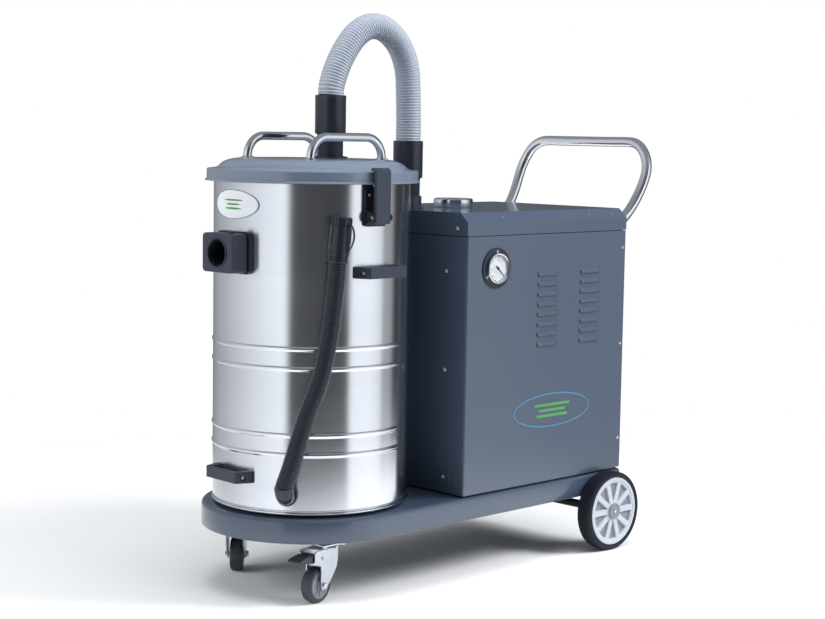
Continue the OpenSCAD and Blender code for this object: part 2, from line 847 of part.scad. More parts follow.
// Places its children on the drain cuff's own axis, from its foot upward
module at_drain_cuff() {
    translate(drain_foot) rotate(drain_tilt) children();
}

module drain_cuff() {
    color(black) at_drain_cuff() {
        cylinder(r = 22, h = 15);
        translate([0, 0, 15]) cylinder(r = 24, h = 5);
        translate([0, 0, 20]) cylinder(r = 23, h = 53);
        translate([0, 0, 73]) cylinder(r = 16, h = 12);
    }
}

module drain_cap() {
    color(black) at_drain_cuff() translate([0, 0, 73 + seat]) difference() {
        union() {
            cylinder(r = 22.6, h = 19);
            for (i = [0:19])
                rotate([0, 0, i * 18]) translate([22.3, 0, 0]) cylinder(r = 1.5, h = 15, $fn = 16);
        }
        translate([0, 0, -1]) cylinder(r = 16 + gap, h = 14);
    }
}

// A sprung clip on the drum that holds the drain cuff
module drain_clip() {
    color(black) difference() {
        at_drum() rotate([0, 0, -29]) block([212, -14, 785], [236, 14, 805]);
        at_drum() drum_surface();
        at_drain_cuff() cylinder(r = 23 + seat, h = 100, $fn = 360);
    }
}

// The filter's collar sits on the drum's top edge, under the lid
module filter_collar() {
    color(black) at_drum() {
        ring(222, 208, drum_z1 + seat, drum_z1 + 3);
        ring(214, 208, drum_z1 - 25, drum_z1 + 1);
    }
}

// The cloth filter: a shallow hollow bag that hangs from its collar, above the inlet
module filter_bag() {
    z1 = drum_z1 - 22;
    z0 = inlet_z + 35;
    color(white) at_drum() rotate_extrude() polygon([
        [207.5, z1], [204, z1], [170, z0 + 13], [0, z0 + 5], [0, z0], [173, z0 + 7]
    ]);
}

// The lid: rim band with a flared lip, a low shoulder and a flat-topped dome
module lid() {
    w = 2.5;
    color(lid_paint) difference() {
        at_drum() rotate_extrude() polygon([
            [lid_r + 4, lid_rim_z0], [lid_r + 4, lid_rim_z0 + 2.5], [lid_r, lid_rim_z0 + 6],
            [lid_r, lid_rim_top - 3], [lid_r - 3, lid_rim_top], [212, lid_rim_top + 2],
            [205, lid_rim_top + 8], [172, lid_top], [0, lid_top], [0, lid_top - w],
            [171, lid_top - w], [203, lid_rim_top + 6], [209, lid_rim_top - w + 2],
            [lid_r - w, lid_rim_top - w - 1], [lid_r - w, lid_rim_z0]
        ]);
        translate([0, lid_port_y, lid_top - 20]) cylinder(r = port_r + 4 + gap, h = 40);
    }
}

module lid_gasket() {
    color(black) at_drum() ring(226, 211, drum_z1 + 3 + gap, lid_rim_top - 3);
}

// One chromed lid handle: two legs, two bends and a straight grip along Y
module lid_handle() {
    bend = 46;
    half = 105;
    top = 1007;
    r = lid_handle_d / 2;
    for (s = [-1, 1]) {
        translate([0, s * half, lid_top + seat]) cylinder(r = r, h = top - bend - lid_top - seat);
        translate([0, s * (half - bend), top - bend]) rotate([90, 0, 90])
            rotate_extrude(angle = 90, start = s > 0 ? 0 : 90) translate([bend, 0]) circle(r = r, $fn = 32);
        translate([0, s * half, lid_top + seat]) cylinder(r = r + 6, h = 3);
    }
    translate([0, 0, top]) rod_y(r, -(half - bend), half - bend);
}

module lid_handles() {
    color(steel) at_both_sides() translate([lid_handle_x, drum_y + 4, 0]) lid_handle();
}

// The lid's port, with the cage of bars that holds the float under it
module lid_port() {
    cage_z = lid_top - 100;
    seat_z = lid_top - 42;
    color(black) translate([0, lid_port_y, 0]) {
        ring(port_r + 4, port_r, seat_z, lid_top + 5);
        ring(port_r + 10, port_r + 3, lid_top + seat, lid_top + 4);
        ring(36, 22, seat_z, seat_z + 8);
        ring(36, 26, cage_z, cage_z + 5);
        for (i = [0:5]) rotate([0, 0, i * 60]) translate([33, 0, cage_z + 1]) cylinder(r = 2.5, h = 60);
    }
}

// The ball that floats up and shuts the port when the drum is full
module float_ball() {
    color(white) translate([0, lid_port_y, lid_top - 84.3]) sphere(r = 28);
}

// A hose cuff: a wide ribbed collar over a narrow nose, which stands in its port
module cuff() {
    nose_r = cuff_nose_d / 2;
    collar_r = cuff_collar_d / 2;
    color(black) difference() {
        union() {
            translate([0, 0, cuff_shoulder - 84]) cylinder(r = nose_r, h = 86);
            translate([0, 0, cuff_shoulder]) cylinder(r = collar_r, h = cuff_top - cuff_shoulder);
        }
        translate([0, 0, cuff_shoulder - 90])
            cylinder(r = nose_r - 4, h = 90 + cuff_top - cuff_shoulder - 4);
        translate([0, 0, cuff_shoulder - 90]) cylinder(r = 20, h = 200);
    }
}

module hose_cuffs() {
    translate([0, lid_port_y, 0]) cuff();
    translate([0, cabinet_port_y, -cuff_drop]) cuff();
}

module suction_hose() {
    color(grey) tube(suction_route, suction_hose_d, 12);
}

platform();
chassis_frame();
rear_axle();
axle_end_caps();
caster_plates();
drum_seat();
cabinet_base();
cabinet_side_right();
cabinet_side_left();
cabinet_front_panel();
cabinet_rear_panel();
cabinet_cover();
cabinet_screws();
exhaust_outlet();
suction_port();
push_handle();
push_handle_flanges();
gauge_case();
gauge_glass();
gauge_needle();
blower_housing();
blower_motor();
blower_mounts();
blower_impeller();
blower_pipework();
switch_box();
switch_knob();
cable_gland();
right_tyre();
right_rim();
left_tyre();
left_rim();
caster_right_fork();
caster_right_wheel();
caster_right_pedal();
caster_left_fork();
caster_left_wheel();
caster_left_pedal();
drum_shell();
carry_handles();
tipping_handle();
latch_bases();
inlet_block();
inlet_button();
drain_elbow();
drain_hose();
drain_cuff();
drain_clip();
drain_cap();
filter_collar();
filter_bag();
latch_lever_right();
latch_lever_left();
lid();
lid_gasket();
lid_handles();
lid_port();
float_ball();
suction_hose();
hose_cuffs();
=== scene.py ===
"""Looks of a wheeled wet and dry vacuum cleaner: steel drum, blower cabinet, hoses and trolley.

Outlines and routes are in millimetres, in the CAD's frame; solid_mesh() turns them into metres."""

import json
import math

import bmesh
import bpy
from mathutils import Matrix, Vector


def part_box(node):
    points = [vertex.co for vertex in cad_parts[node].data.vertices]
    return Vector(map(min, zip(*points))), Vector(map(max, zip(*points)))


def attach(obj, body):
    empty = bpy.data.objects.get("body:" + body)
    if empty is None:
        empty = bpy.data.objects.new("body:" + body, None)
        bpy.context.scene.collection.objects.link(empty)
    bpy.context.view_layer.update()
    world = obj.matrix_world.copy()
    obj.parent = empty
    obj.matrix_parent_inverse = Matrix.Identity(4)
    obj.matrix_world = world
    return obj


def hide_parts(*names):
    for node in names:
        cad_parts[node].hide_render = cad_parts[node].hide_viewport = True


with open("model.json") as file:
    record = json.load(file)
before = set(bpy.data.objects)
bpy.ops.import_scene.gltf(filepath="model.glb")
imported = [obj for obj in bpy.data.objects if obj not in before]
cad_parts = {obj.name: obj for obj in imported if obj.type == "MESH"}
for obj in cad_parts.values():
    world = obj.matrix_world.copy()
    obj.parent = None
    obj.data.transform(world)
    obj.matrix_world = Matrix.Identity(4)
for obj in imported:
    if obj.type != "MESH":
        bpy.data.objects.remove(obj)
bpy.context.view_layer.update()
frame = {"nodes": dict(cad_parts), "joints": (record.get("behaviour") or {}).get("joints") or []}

MM = 0.001
TURN = 2 * math.pi
JOINTS = {joint["name"]: joint for joint in frame["joints"]}
SIDES = (("right", 1), ("left", -1))


def span(node_name):
    """The lowest and highest corners of a CAD node, in millimetres."""
    low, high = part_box(node_name)
    return low / MM, high / MM


def middle(node_name):
    low, high = span(node_name)
    return (low + high) / 2


def pivot(joint_name):
    """The place of a joint, in millimetres."""
    return Vector(JOINTS[joint_name]["pos_m"]) / MM


def right_only(side, node_name):
    """What a piece of a pair replaces, where one CAD node holds both: the right one stands for it."""
    return [node_name] if side > 0 else []


# ---------------------------------------------------------------- camera, light and floor

CAMERA_PLACE = (2.9390, -2.9366, 1.0198)
CAMERA_TURN = math.radians(45.287)
CAMERA_PITCH = math.radians(5.793)
CAMERA_ROLL = math.radians(0.933)
CAMERA_LENS = 76.16
CAMERA_SENSOR = 36


def link(made):
    bpy.context.scene.collection.objects.link(made)
    return made


def make_camera():
    heading = Matrix.Rotation(CAMERA_TURN, 4, "Z")
    level = heading @ Matrix.Rotation(math.radians(90) - CAMERA_PITCH, 4, "X")
    data = bpy.data.cameras.new("camera")
    data.lens = CAMERA_LENS
    data.sensor_width = CAMERA_SENSOR
    camera = link(bpy.data.objects.new("camera", data))
    camera.matrix_world = Matrix.Translation(CAMERA_PLACE) @ level @ Matrix.Rotation(CAMERA_ROLL, 4, "Z")
    bpy.context.scene.camera = camera


def make_softbox(name, place, aim, size, power):
    """A square lamp that lights the object but isn't mirrored in it. Places are in metres."""
    data = bpy.data.lights.new(name, "AREA")
    data.shape = "RECTANGLE"
    data.size = size
    data.size_y = size
    data.energy = power
    light = link(bpy.data.objects.new(name, data))
    light.location = place
    light.visible_glossy = False
    light.rotation_euler = (Vector(aim) - Vector(place)).to_track_quat("-Z", "Y").to_euler()


# Brightness of the studio's walls round the horizon: bearing in degrees from +X, level
WALLS = [
    (-180, 0.45), (-160, 0.55), (-125, 0.80), (-72, 1.20), (-65, 0.08), (1, 0.06), (6, 1.15),
    (30, 1.15), (48, 0.90), (49.5, 0.42), (64, 0.40), (71, 0.05), (100, 0.04), (135, 0.10), (180, 0.45),
]
WALL_PEAK = 1.2
WALL_TINT = (0.94, 0.97, 1.0)
CEILING = (0.24, 0.25, 0.27, 1)
CEILING_RISE = (0.35, 0.75)
BACKDROP = (1, 1, 1, 1)


def make_world():
    """Soft studio surroundings: bright walls with dark gaps, a grey ceiling, a white backdrop."""
    world = bpy.data.worlds.new("studio")
    bpy.context.scene.world = world
    world.use_nodes = True
    tree = world.node_tree
    tree.nodes.clear()
    direction = node(tree, "ShaderNodeTexCoord").outputs["Generated"]
    parts = node(tree, "ShaderNodeSeparateXYZ", {"Vector": direction})
    sides = {0: parts.outputs["Y"], 1: parts.outputs["X"]}
    bearing = node(tree, "ShaderNodeMath", sides, operation="ARCTAN2")
    share = ranged(tree, bearing.outputs[0], (-math.pi, math.pi), (0, 1))
    walls = node(tree, "ShaderNodeValToRGB", {"Fac": share})
    stops = walls.color_ramp.elements
    while len(stops) < len(WALLS):
        stops.new(0.5)
    for stop, (degrees, level) in zip(stops, WALLS):
        stop.position = (degrees + 180) / 360
        stop.color = [level / WALL_PEAK * tint for tint in WALL_TINT] + [1]
    height = ranged(tree, parts.outputs["Z"], CEILING_RISE, (0, 1))
    room = mixed(tree, height, walls.outputs["Color"], CEILING)
    surround = node(tree, "ShaderNodeBackground", {"Color": room, "Strength": WALL_PEAK})
    backdrop = node(tree, "ShaderNodeBackground", {"Color": BACKDROP, "Strength": 1.0})
    seen = node(tree, "ShaderNodeLightPath").outputs["Is Camera Ray"]
    layers = {0: seen, 1: surround.outputs[0], 2: backdrop.outputs[0]}
    both = node(tree, "ShaderNodeMixShader", layers)
    output = node(tree, "ShaderNodeOutputWorld")
    tree.links.new(both.outputs[0], output.inputs["Surface"])


FLOOR_HALF = 3.0
FLOOR_FADE = (1.0, 1.8)


def make_floor():
    a, b = -FLOOR_HALF, FLOOR_HALF
    mesh = bpy.data.meshes.new("floor")
    mesh.from_pydata([(a, a, 0), (b, a, 0), (b, b, 0), (a, b, 0)], [], [(0, 1, 2, 3)])
    floor = link(bpy.data.objects.new("floor", mesh))
    mesh.materials.append(FLOOR)


# ---------------------------------------------------------------- materials


def node(tree, kind, inputs=None, **settings):
    """Adds a shader node. inputs maps a socket's name or number to a value or to an output."""
    made = tree.nodes.new(kind)
    for name, value in settings.items():
        setattr(made, name, value)
    for key, value in (inputs or {}).items():
        feed(tree, made.inputs[key], value)
    return made


def feed(tree, socket, value):
    """Joins an output to a socket, or sets the socket's own value."""
    if isinstance(value, bpy.types.NodeSocket):
        tree.links.new(value, socket)
    else:
        socket.default_value = value


def ranged(tree, value, source, target):
    """Maps value from the source range to the target range."""
    inputs = {0: value, 1: source[0], 2: source[1], 3: target[0], 4: target[1]}
    return node(tree, "ShaderNodeMapRange", inputs).outputs[0]


def mixed(tree, share, first, second):
    """Mixes two colours."""
    made = node(tree, "ShaderNodeMix", data_type="RGBA")
    for key, value in (("Factor", share), ("A", first), ("B", second)):
        socket = [s for s in made.inputs if s.name == key and s.enabled][0]
        feed(tree, socket, value)
    return [s for s in made.outputs if s.enabled][0]


def noise(tree, place, stretch, detail=3.0, distortion=0.0):
    """A noise pattern with stretch cells per metre along X, Y and Z."""
    scaled = node(tree, "ShaderNodeMapping", {"Vector": place, "Scale": stretch})
    inputs = {"Vector": scaled.outputs[0], "Scale": 1.0, "Detail": detail, "Distortion": distortion}
    return node(tree, "ShaderNodeTexNoise", inputs).outputs["Fac"]


def shade(colour, factor):
    return tuple(min(1.0, channel * factor) for channel in colour[:3]) + (1,)


def material(
    name, colour, rough, metal=0.0, variation=0.08, patches=(7, 7, 7), grain=(700, 700, 700),
    depth=0.03, spread=0.08, **sockets,
):
    """A surface with patchy colour and with fine grain in its colour, roughness and relief.

    depth is the grain's relief in millimetres, and spread how far roughness wanders.
    sockets are values that are the same all over the surface."""
    made = bpy.data.materials.new(name)
    made.use_nodes = True
    tree = made.node_tree
    shader = tree.nodes["Principled BSDF"]
    place = node(tree, "ShaderNodeTexCoord").outputs["Object"]
    patch = ranged(tree, noise(tree, place, patches, 5.0, 0.4), (0.3, 0.7), (0, 1))
    fine = noise(tree, place, grain)
    base = mixed(tree, patch, shade(colour, 1 - variation), shade(colour, 1 + variation))
    flecked = ranged(tree, fine, (0.35, 0.65), (0, 1))
    base = mixed(tree, ranged(tree, flecked, (0, 1), (0, 0.35)), base, shade(colour, 1 - 2 * variation))
    tree.links.new(base, shader.inputs["Base Color"])
    wander = node(tree, "ShaderNodeMath", {0: patch, 1: flecked}, operation="ADD")
    roughness = ranged(tree, wander.outputs[0], (0, 2), (rough - spread, rough + spread))
    tree.links.new(roughness, shader.inputs["Roughness"])
    relief = node(tree, "ShaderNodeBump", {"Height": fine, "Strength": 1.0, "Distance": depth * MM})
    tree.links.new(relief.outputs[0], shader.inputs["Normal"])
    shader.inputs["Metallic"].default_value = metal
    for key, value in sockets.items():
        shader.inputs[key.replace("_", " ")].default_value = value
    return made


def brushed(name, colour, rough, scratches, anisotropy=0.0, depth=0.004, variation=0.05):
    """Steel with fine scratches, which run where they are few to the metre, and cloudy patches."""
    made = material(
        name, colour, rough, metal=1.0, variation=variation, patches=(2, 2, 5), grain=scratches,
        depth=depth, spread=rough * 0.2, Anisotropic=anisotropy, Anisotropic_Rotation=0.25,
    )
    if anisotropy:
        tree = made.node_tree
        around_z = node(tree, "ShaderNodeTangent", direction_type="RADIAL", axis="Z")
        tree.links.new(around_z.outputs[0], tree.nodes["Principled BSDF"].inputs["Tangent"])
    return made


PAINT = dict(
    variation=0.03, spread=0.03, grain=(420, 420, 420), depth=0.006, Coat_Weight=0.8, Coat_Roughness=0.10,
)

# Each finish: its colour, its roughness, and what sets it apart from a plain surface
SURFACES = {
    "paint_dark": ((0.046, 0.067, 0.108), 0.38, PAINT),
    "paint_lid": ((0.140, 0.178, 0.240), 0.34, PAINT),
    "frame_black": ((0.018, 0.020, 0.026), 0.55, {}),
    "black_plastic": ((0.016, 0.019, 0.030), 0.34, dict(depth=0.02)),
    "slate_plastic": ((0.028, 0.037, 0.058), 0.45, dict(grain=(900, 900, 900))),
    "hose_grey": (
        (0.34, 0.38, 0.45), 0.30, dict(variation=0.04, depth=0.004, Coat_Weight=0.3, Coat_Roughness=0.2),
    ),
    "hose_black": ((0.020, 0.022, 0.034), 0.28, dict(variation=0.12, depth=0.01)),
    "rim_white": ((0.44, 0.48, 0.54), 0.42, dict(variation=0.04)),
    "hub_grey": ((0.20, 0.20, 0.23), 0.40, dict(variation=0.10)),
    "tyre_black": (
        (0.012, 0.014, 0.024), 0.66,
        dict(variation=0.15, grain=(1500, 1500, 1500), depth=0.06, Specular_IOR_Level=0.3),
    ),
    "caster_grey": ((0.035, 0.038, 0.055), 0.50, dict(variation=0.12, depth=0.05)),
    "seal_rubber": ((0.012, 0.012, 0.014), 0.65, dict(depth=0.05)),
    "cast_aluminium": (
        (0.50, 0.51, 0.53), 0.48, dict(metal=0.9, variation=0.10, grain=(1200, 1200, 1200), depth=0.08),
    ),
    "filter_cloth": (
        (0.72, 0.72, 0.68), 0.90,
        dict(variation=0.10, grain=(1600, 1600, 1600), depth=0.25, Sheen_Weight=0.3),
    ),
    "dial_white": ((0.82, 0.84, 0.86), 0.35, dict(variation=0.03, depth=0.005)),
    "needle_black": ((0.012, 0.012, 0.014), 0.40, dict(depth=0.01)),
    "gauge_glass": (
        (0.97, 0.98, 1.0), 0.05,
        dict(variation=0.01, depth=0.0005, spread=0.03, Transmission_Weight=1.0, IOR=1.1),
    ),
    "float_white": ((0.78, 0.78, 0.74), 0.30, dict(variation=0.04)),
    "badge_blue": ((0.06, 0.20, 0.34), 0.35, dict(variation=0.05, depth=0.01)),
    "badge_green": ((0.07, 0.29, 0.09), 0.40, dict(variation=0.06, depth=0.01)),
    # Painted shade on the discs in the rear wheels' pockets, and the caster hubs' own grey
    "pocket_shade_and_hub_colour": ((0.21, 0.22, 0.26), 0.50, dict(variation=0.08)),
    "studio_floor": (
        (0.86, 0.87, 0.88), 0.80,
        dict(variation=0.01, patches=(0.7, 0.7, 0.7), grain=(60, 60, 60), depth=0.02, spread=0.05),
    ),
}

# Each steel: its colour, its roughness, scratches to the metre along X, Y and Z, and the rest
STEELS = {
    "drum_steel": ((0.76, 0.78, 0.83), 0.20, (3, 3, 2600), dict(anisotropy=0.55)),
    "polished_steel": ((0.74, 0.75, 0.79), 0.10, (900, 900, 900), dict(depth=0.0003)),
    "zinc": ((0.62, 0.66, 0.72), 0.30, (500, 500, 60), dict(depth=0.01, variation=0.14)),
}


def fade_out(made, start, end):
    """Makes a surface clear from one distance to another, in metres from its middle."""
    tree = made.node_tree
    place = node(tree, "ShaderNodeTexCoord").outputs["Object"]
    distance = node(tree, "ShaderNodeVectorMath", {0: place}, operation="LENGTH").outputs["Value"]
    share = ranged(tree, distance, (start, end), (0, 1))
    solid = tree.nodes["Principled BSDF"].outputs[0]
    clear = node(tree, "ShaderNodeBsdfTransparent").outputs[0]
    both = node(tree, "ShaderNodeMixShader", {0: share, 1: solid, 2: clear}).outputs[0]
    tree.links.new(both, tree.nodes["Material Output"].inputs["Surface"])


MATERIALS = {name: material(name, *given, **more) for name, (*given, more) in SURFACES.items()}
MATERIALS.update({name: brushed(name, *given, **more) for name, (*given, more) in STEELS.items()})
FLOOR = MATERIALS["studio_floor"]
fade_out(FLOOR, *FLOOR_FADE)


# ---------------------------------------------------------------- shapes: (points, faces) in millimetres


def joined(*shapes):
    points, faces = [], []
    for more_points, more_faces in shapes:
        start = len(points)
        points += [Vector(p) for p in more_points]
        faces += [tuple(start + i for i in face) for face in more_faces]
    return points, faces


def placed(shape, *moves):
    """The shape after the moves, the last of which comes first, as in a product of matrices."""
    whole = Matrix.Identity(4)
    for move in moves:
        whole = whole @ move
    points, faces = shape
    return [whole @ Vector(p) for p in points], faces


def at(x, y, z):
    return Matrix.Translation((x, y, z))


def about(axis, degrees):
    return Matrix.Rotation(math.radians(degrees), 4, axis)


FACE_X = about("Y", 90)
FACE_Y = about("X", -90)
MIRROR_X = Matrix.Diagonal((-1, 1, 1, 1))


def loft(rings, closed_round=True, closed_along=False, caps=True):
    """Skins a list of rings that have the same number of points."""
    points = [Vector(p) for ring in rings for p in ring]
    n = len(rings[0])
    faces = []
    last = len(rings) if closed_along else len(rings) - 1
    for i in range(last):
        a, b = i * n, (i + 1) % len(rings) * n
        for k in range(n if closed_round else n - 1):
            m = (k + 1) % n
            faces.append((a + k, a + m, b + m, b + k))
    if caps and not closed_along:
        faces.append(tuple(range(n - 1, -1, -1)))
        faces.append(tuple((len(rings) - 1) * n + k for k in range(n)))
    return points, faces


def lathe(outline, steps=96, closed=False):
    """Turns (radius, height) points round Z. An open outline starts and ends on the axis."""
    points, faces, rows = [], [], []
    for radius, height in outline:
        count = 1 if radius < 1e-6 else steps
        rows.append([len(points) + k for k in range(count)])
        angles = [TURN * k / steps for k in range(count)]
        points += [Vector((radius * math.cos(a), radius * math.sin(a), height)) for a in angles]
    pairs = list(zip(rows, rows[1:]))
    if closed:
        pairs.append((rows[-1], rows[0]))
    for lower, upper in pairs:
        for k in range(steps):
            m = (k + 1) % steps
            corners = [(lower, k), (lower, m), (upper, m), (upper, k)]
            face = tuple(dict.fromkeys(row[i % len(row)] for row, i in corners))
            if len(face) > 2:
                faces.append(face)
    return points, faces


def arc(centre, radius, start, end, steps=6):
    """Points of an arc about (a, b), from one angle to another, in degrees."""
    angles = [math.radians(start + (end - start) * i / steps) for i in range(steps + 1)]
    return [(centre[0] + radius * math.cos(a), centre[1] + radius * math.sin(a)) for a in angles]


def rounded(width, height, radius, steps=5):
    """A rectangle about the origin with round corners."""
    x, y = width / 2 - radius, height / 2 - radius
    return (
        arc((x, y), radius, 0, 90, steps) + arc((-x, y), radius, 90, 180, steps)
        + arc((-x, -y), radius, 180, 270, steps) + arc((x, -y), radius, 270, 360, steps)
    )


def shifted(outline, a, b):
    return [(x + a, y + b) for x, y in outline]


def prism(outline, start, end, axis="Z"):
    """Extrudes an outline along an axis. It is drawn in XY for Z, in XZ for Y and in YZ for X."""
    order = {"Z": lambda a, b, t: (a, b, t), "Y": lambda a, b, t: (a, t, b), "X": lambda a, b, t: (t, a, b)}
    return loft([[order[axis](a, b, t) for a, b in outline] for t in (start, end)])


def block(low, high):
    outline = [(low[0], low[1]), (high[0], low[1]), (high[0], high[1]), (low[0], high[1])]
    return prism(outline, low[2], high[2])


def along(points, step):
    """A smooth curve through the points, as points about step apart."""
    points = [Vector(p) for p in points]
    ends = [2 * points[0] - points[1]] + points + [2 * points[-1] - points[-2]]
    curve = []
    for a, b, c, d in zip(ends, ends[1:], ends[2:], ends[3:]):
        pieces = max(2, round((c - b).length / 1.5))
        for i in range(pieces):
            t = i / pieces
            bend = 2 * a - 5 * b + 4 * c - d
            twist = 3 * b - a - 3 * c + d
            curve.append(0.5 * (2 * b + (c - a) * t + bend * t * t + twist * t ** 3))
    curve.append(points[-1])
    gaps = [0.0]
    for p, q in zip(curve, curve[1:]):
        gaps.append(gaps[-1] + (q - p).length)
    count = max(2, round(gaps[-1] / step))
    even, i = [], 0
    for k in range(count + 1):
        reach = gaps[-1] * k / count
        while i < len(curve) - 2 and gaps[i + 1] < reach:
            i += 1
        share = (reach - gaps[i]) / (gaps[i + 1] - gaps[i])
        even.append(curve[i].lerp(curve[i + 1], min(1.0, share)))
    return even


def length_of(path):
    return sum((q - p).length for p, q in zip(path, path[1:]))


def sections(path, first=(1, 0, 0)):
    """For each point of a path, the point and two sideways directions carried along without twist."""
    side = Vector(first)
    found = []
    for i, p in enumerate(path):
        ahead = (path[min(i + 1, len(path) - 1)] - path[max(i - 1, 0)]).normalized()
        side = (side - side.dot(ahead) * ahead).normalized()
        found.append((p, side, ahead.cross(side)))
    return found


def circle(steps):
    """Points round the unit circle, as (cosine, sine)."""
    angles = [TURN * k / steps for k in range(steps)]
    return [(math.cos(a), math.sin(a)) for a in angles]


def tube(stations, radii, sides):
    """A closed tube through the stations that sections() gives, with a radius for each of them."""
    rings = []
    for (p, u, v), r in zip(stations, radii):
        rings.append([p + r * (c * u + s * v) for c, s in circle(sides)])
    return loft(rings)


def pipe(path, radius, sides, first=(1, 0, 0)):
    """A closed tube of one radius along a path."""
    return tube(sections(path, first), [radius] * len(path), sides)


def strap(path, width, thickness, first):
    """A flat band with rounded edges along a path, its width along first."""
    section = rounded(width, thickness, thickness * 0.45, 3)
    return loft([[p + a * u + b * v for a, b in section] for p, u, v in sections(path, first)])


def ribbed(path, radius, groove, pitch, phases):
    """A corrugated hose: each rib is drawn by (share of the pitch, share of the groove's depth)."""
    count = max(1, round(length_of(path) / pitch))
    marks = [(rib + share) / count for rib in range(count) for share, _ in phases] + [1.0]
    depths = [deep for _ in range(count) for _, deep in phases] + [phases[0][1]]
    found = sections(along(path, 1.0))
    stations = []
    for mark in marks:
        place = mark * (len(found) - 1)
        i = min(int(place), len(found) - 2)
        stations.append([found[i][k].lerp(found[i + 1][k], place - i) for k in range(3)])
    return tube(stations, [radius - groove * deep for deep in depths], 40)


def disc(radius, start, end, steps=24):
    """A round bar along Z."""
    return lathe([(0, start), (radius, start), (radius, end), (0, end)], steps)


def washer(outer, inner, start, end, steps=64):
    return lathe([(inner, start), (outer, start), (outer, end), (inner, end)], steps, closed=True)


def slab(width, height, radius, centre, start, end, axis="Z"):
    """A plate with round corners about a centre, from start to end along an axis."""
    return prism(shifted(rounded(width, height, radius), *centre), start, end, axis)


def around(shape, turns):
    """Copies of a shape, turned about Z by each of the angles."""
    return [placed(shape, about("Z", turn)) for turn in turns]


def mirrored(half, shared=0):
    """An outline's lower half and its mirror image in height, which has the last shared points in common."""
    upper = half[:len(half) - shared]
    return half + [(a, -b) for a, b in reversed(upper)]


def hexagon(radius, height):
    return prism([(radius * c, radius * s) for c, s in circle(6)], 0, height)


def hexagon_nut(radius, bore, height, steps=24):
    """A hexagonal nut with a round hole."""
    outer = []
    for k in range(steps):
        a = TURN * k / steps
        edge = math.cos(math.pi / 6) / math.cos((a % (math.pi / 3)) - math.pi / 6)
        outer.append((radius * edge * math.cos(a), radius * edge * math.sin(a)))
    inner = [(bore * c, bore * s) for c, s in circle(steps)]
    corners = ((inner, 0), (outer, 0), (outer, height), (inner, height))
    return loft([[(x, y, z) for x, y in ring] for ring, z in corners], closed_along=True)


def screw_head(radius, height):
    """A pan head whose middle is dished round a cross recess."""
    r = radius
    dome = [(r * math.cos(a), height * math.sin(a)) for a in map(math.radians, (8, 25, 45, 62))]
    dish = [(r * 0.42, height * 0.93), (r * 0.34, height * 0.72), (0, height * 0.6)]
    bar = block((-r * 0.32, -r * 0.07, height * 0.50), (r * 0.32, r * 0.07, height * 0.70))
    return joined(lathe([(0, 0), (r, 0), *dome, *dish], 20), *around(bar, (20, 110)))


# ---------------------------------------------------------------- pieces


def solid_mesh(name, shape):
    points, faces = shape
    mesh = bpy.data.meshes.new(name)
    mesh.from_pydata([Vector(p) * MM for p in points], [], faces)
    shell = bmesh.new()
    shell.from_mesh(mesh)
    bmesh.ops.recalc_face_normals(shell, faces=shell.faces)
    shell.to_mesh(mesh)
    shell.free()
    return mesh


def carve(piece_object, cutters):
    """Cuts shapes out of a piece and keeps the result in its mesh."""
    tools = []
    for shape in cutters:
        tool = link(bpy.data.objects.new("cutter", solid_mesh("cutter", shape)))
        cut = piece_object.modifiers.new("cut", "BOOLEAN")
        cut.operation = "DIFFERENCE"
        cut.solver = "EXACT"
        cut.object = tool
        tools.append(tool)
    evaluated = piece_object.evaluated_get(bpy.context.evaluated_depsgraph_get())
    mesh = bpy.data.meshes.new_from_object(evaluated)
    piece_object.modifiers.clear()
    piece_object.data = mesh
    for tool in tools:
        bpy.data.objects.remove(tool)


def soften(made, width, angle):
    """Rounds the edges that are sharper than the angle."""
    edge = made.modifiers.new("bevel", "BEVEL")
    edge.width = width * MM
    edge.segments = 2
    edge.limit_method = "ANGLE"
    edge.angle_limit = math.radians(angle)
    edge.harden_normals = True
    edge.miter_outer = "MITER_ARC"


def piece(name, shape, finish, body, replaces=(), cuts=(), bevel=0.0, slot=None, sharp=32):
    """Makes a piece of the object: its mesh, its finish and the CAD body it rides on."""
    made = link(bpy.data.objects.new(name, solid_mesh(name, shape)))
    if cuts:
        carve(made, cuts)
    mesh = made.data
    mesh.name = name
    mesh.materials.clear()
    mesh.materials.append(MATERIALS[finish])
    mesh.shade_smooth()
    if bevel:
        soften(made, bevel, sharp)
    else:
        mesh.set_sharp_from_angle(angle=math.radians(sharp))
    if cuts and not bevel:
        flat = made.modifiers.new("flat faces", "WEIGHTED_NORMAL")
        flat.keep_sharp = True
    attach(made, body)
    if replaces:
        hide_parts(*replaces)
    return made


# ---------------------------------------------------------------- hoses

# The routes and sizes of part.scad's hoses
SUCTION_ROUTE = [
    (0, -296, 1100), (0, -294, 1120), (0, -285, 1146), (0, -271, 1175), (0, -250, 1207),
    (0, -223, 1236), (0, -191, 1255), (0, -160, 1260), (0, -128, 1253), (0, -94, 1230),
    (0, -70, 1198), (0, -57, 1161), (0, -53, 1120), (0, -51, 1080), (0, -50, 1040),
    (0, -50, 1000),
]
SUCTION_D = 59
SUCTION_PITCH = 6.6
DRAIN_ROUTE = [
    (147, -549, 262), (152, -546, 280), (160, -539, 312), (168, -532, 350), (176, -524, 390),
    (184, -515, 427), (193, -506, 460), (201, -495, 501), (206, -488, 540), (210, -482, 580),
    (213, -478, 615), (215, -474, 655), (217, -470, 700), (218, -469, 725), (219, -467.5, 749),
]
DRAIN_D = 40
DRAIN_PITCH = 5.2
ELBOW_ROUTE = [
    (134, -531, 240), (139, -538, 242), (143.5, -544, 246.5), (146, -548, 253.5), (147, -549, 262),
]
DRAIN_TILT = (-3.7, 2.2)

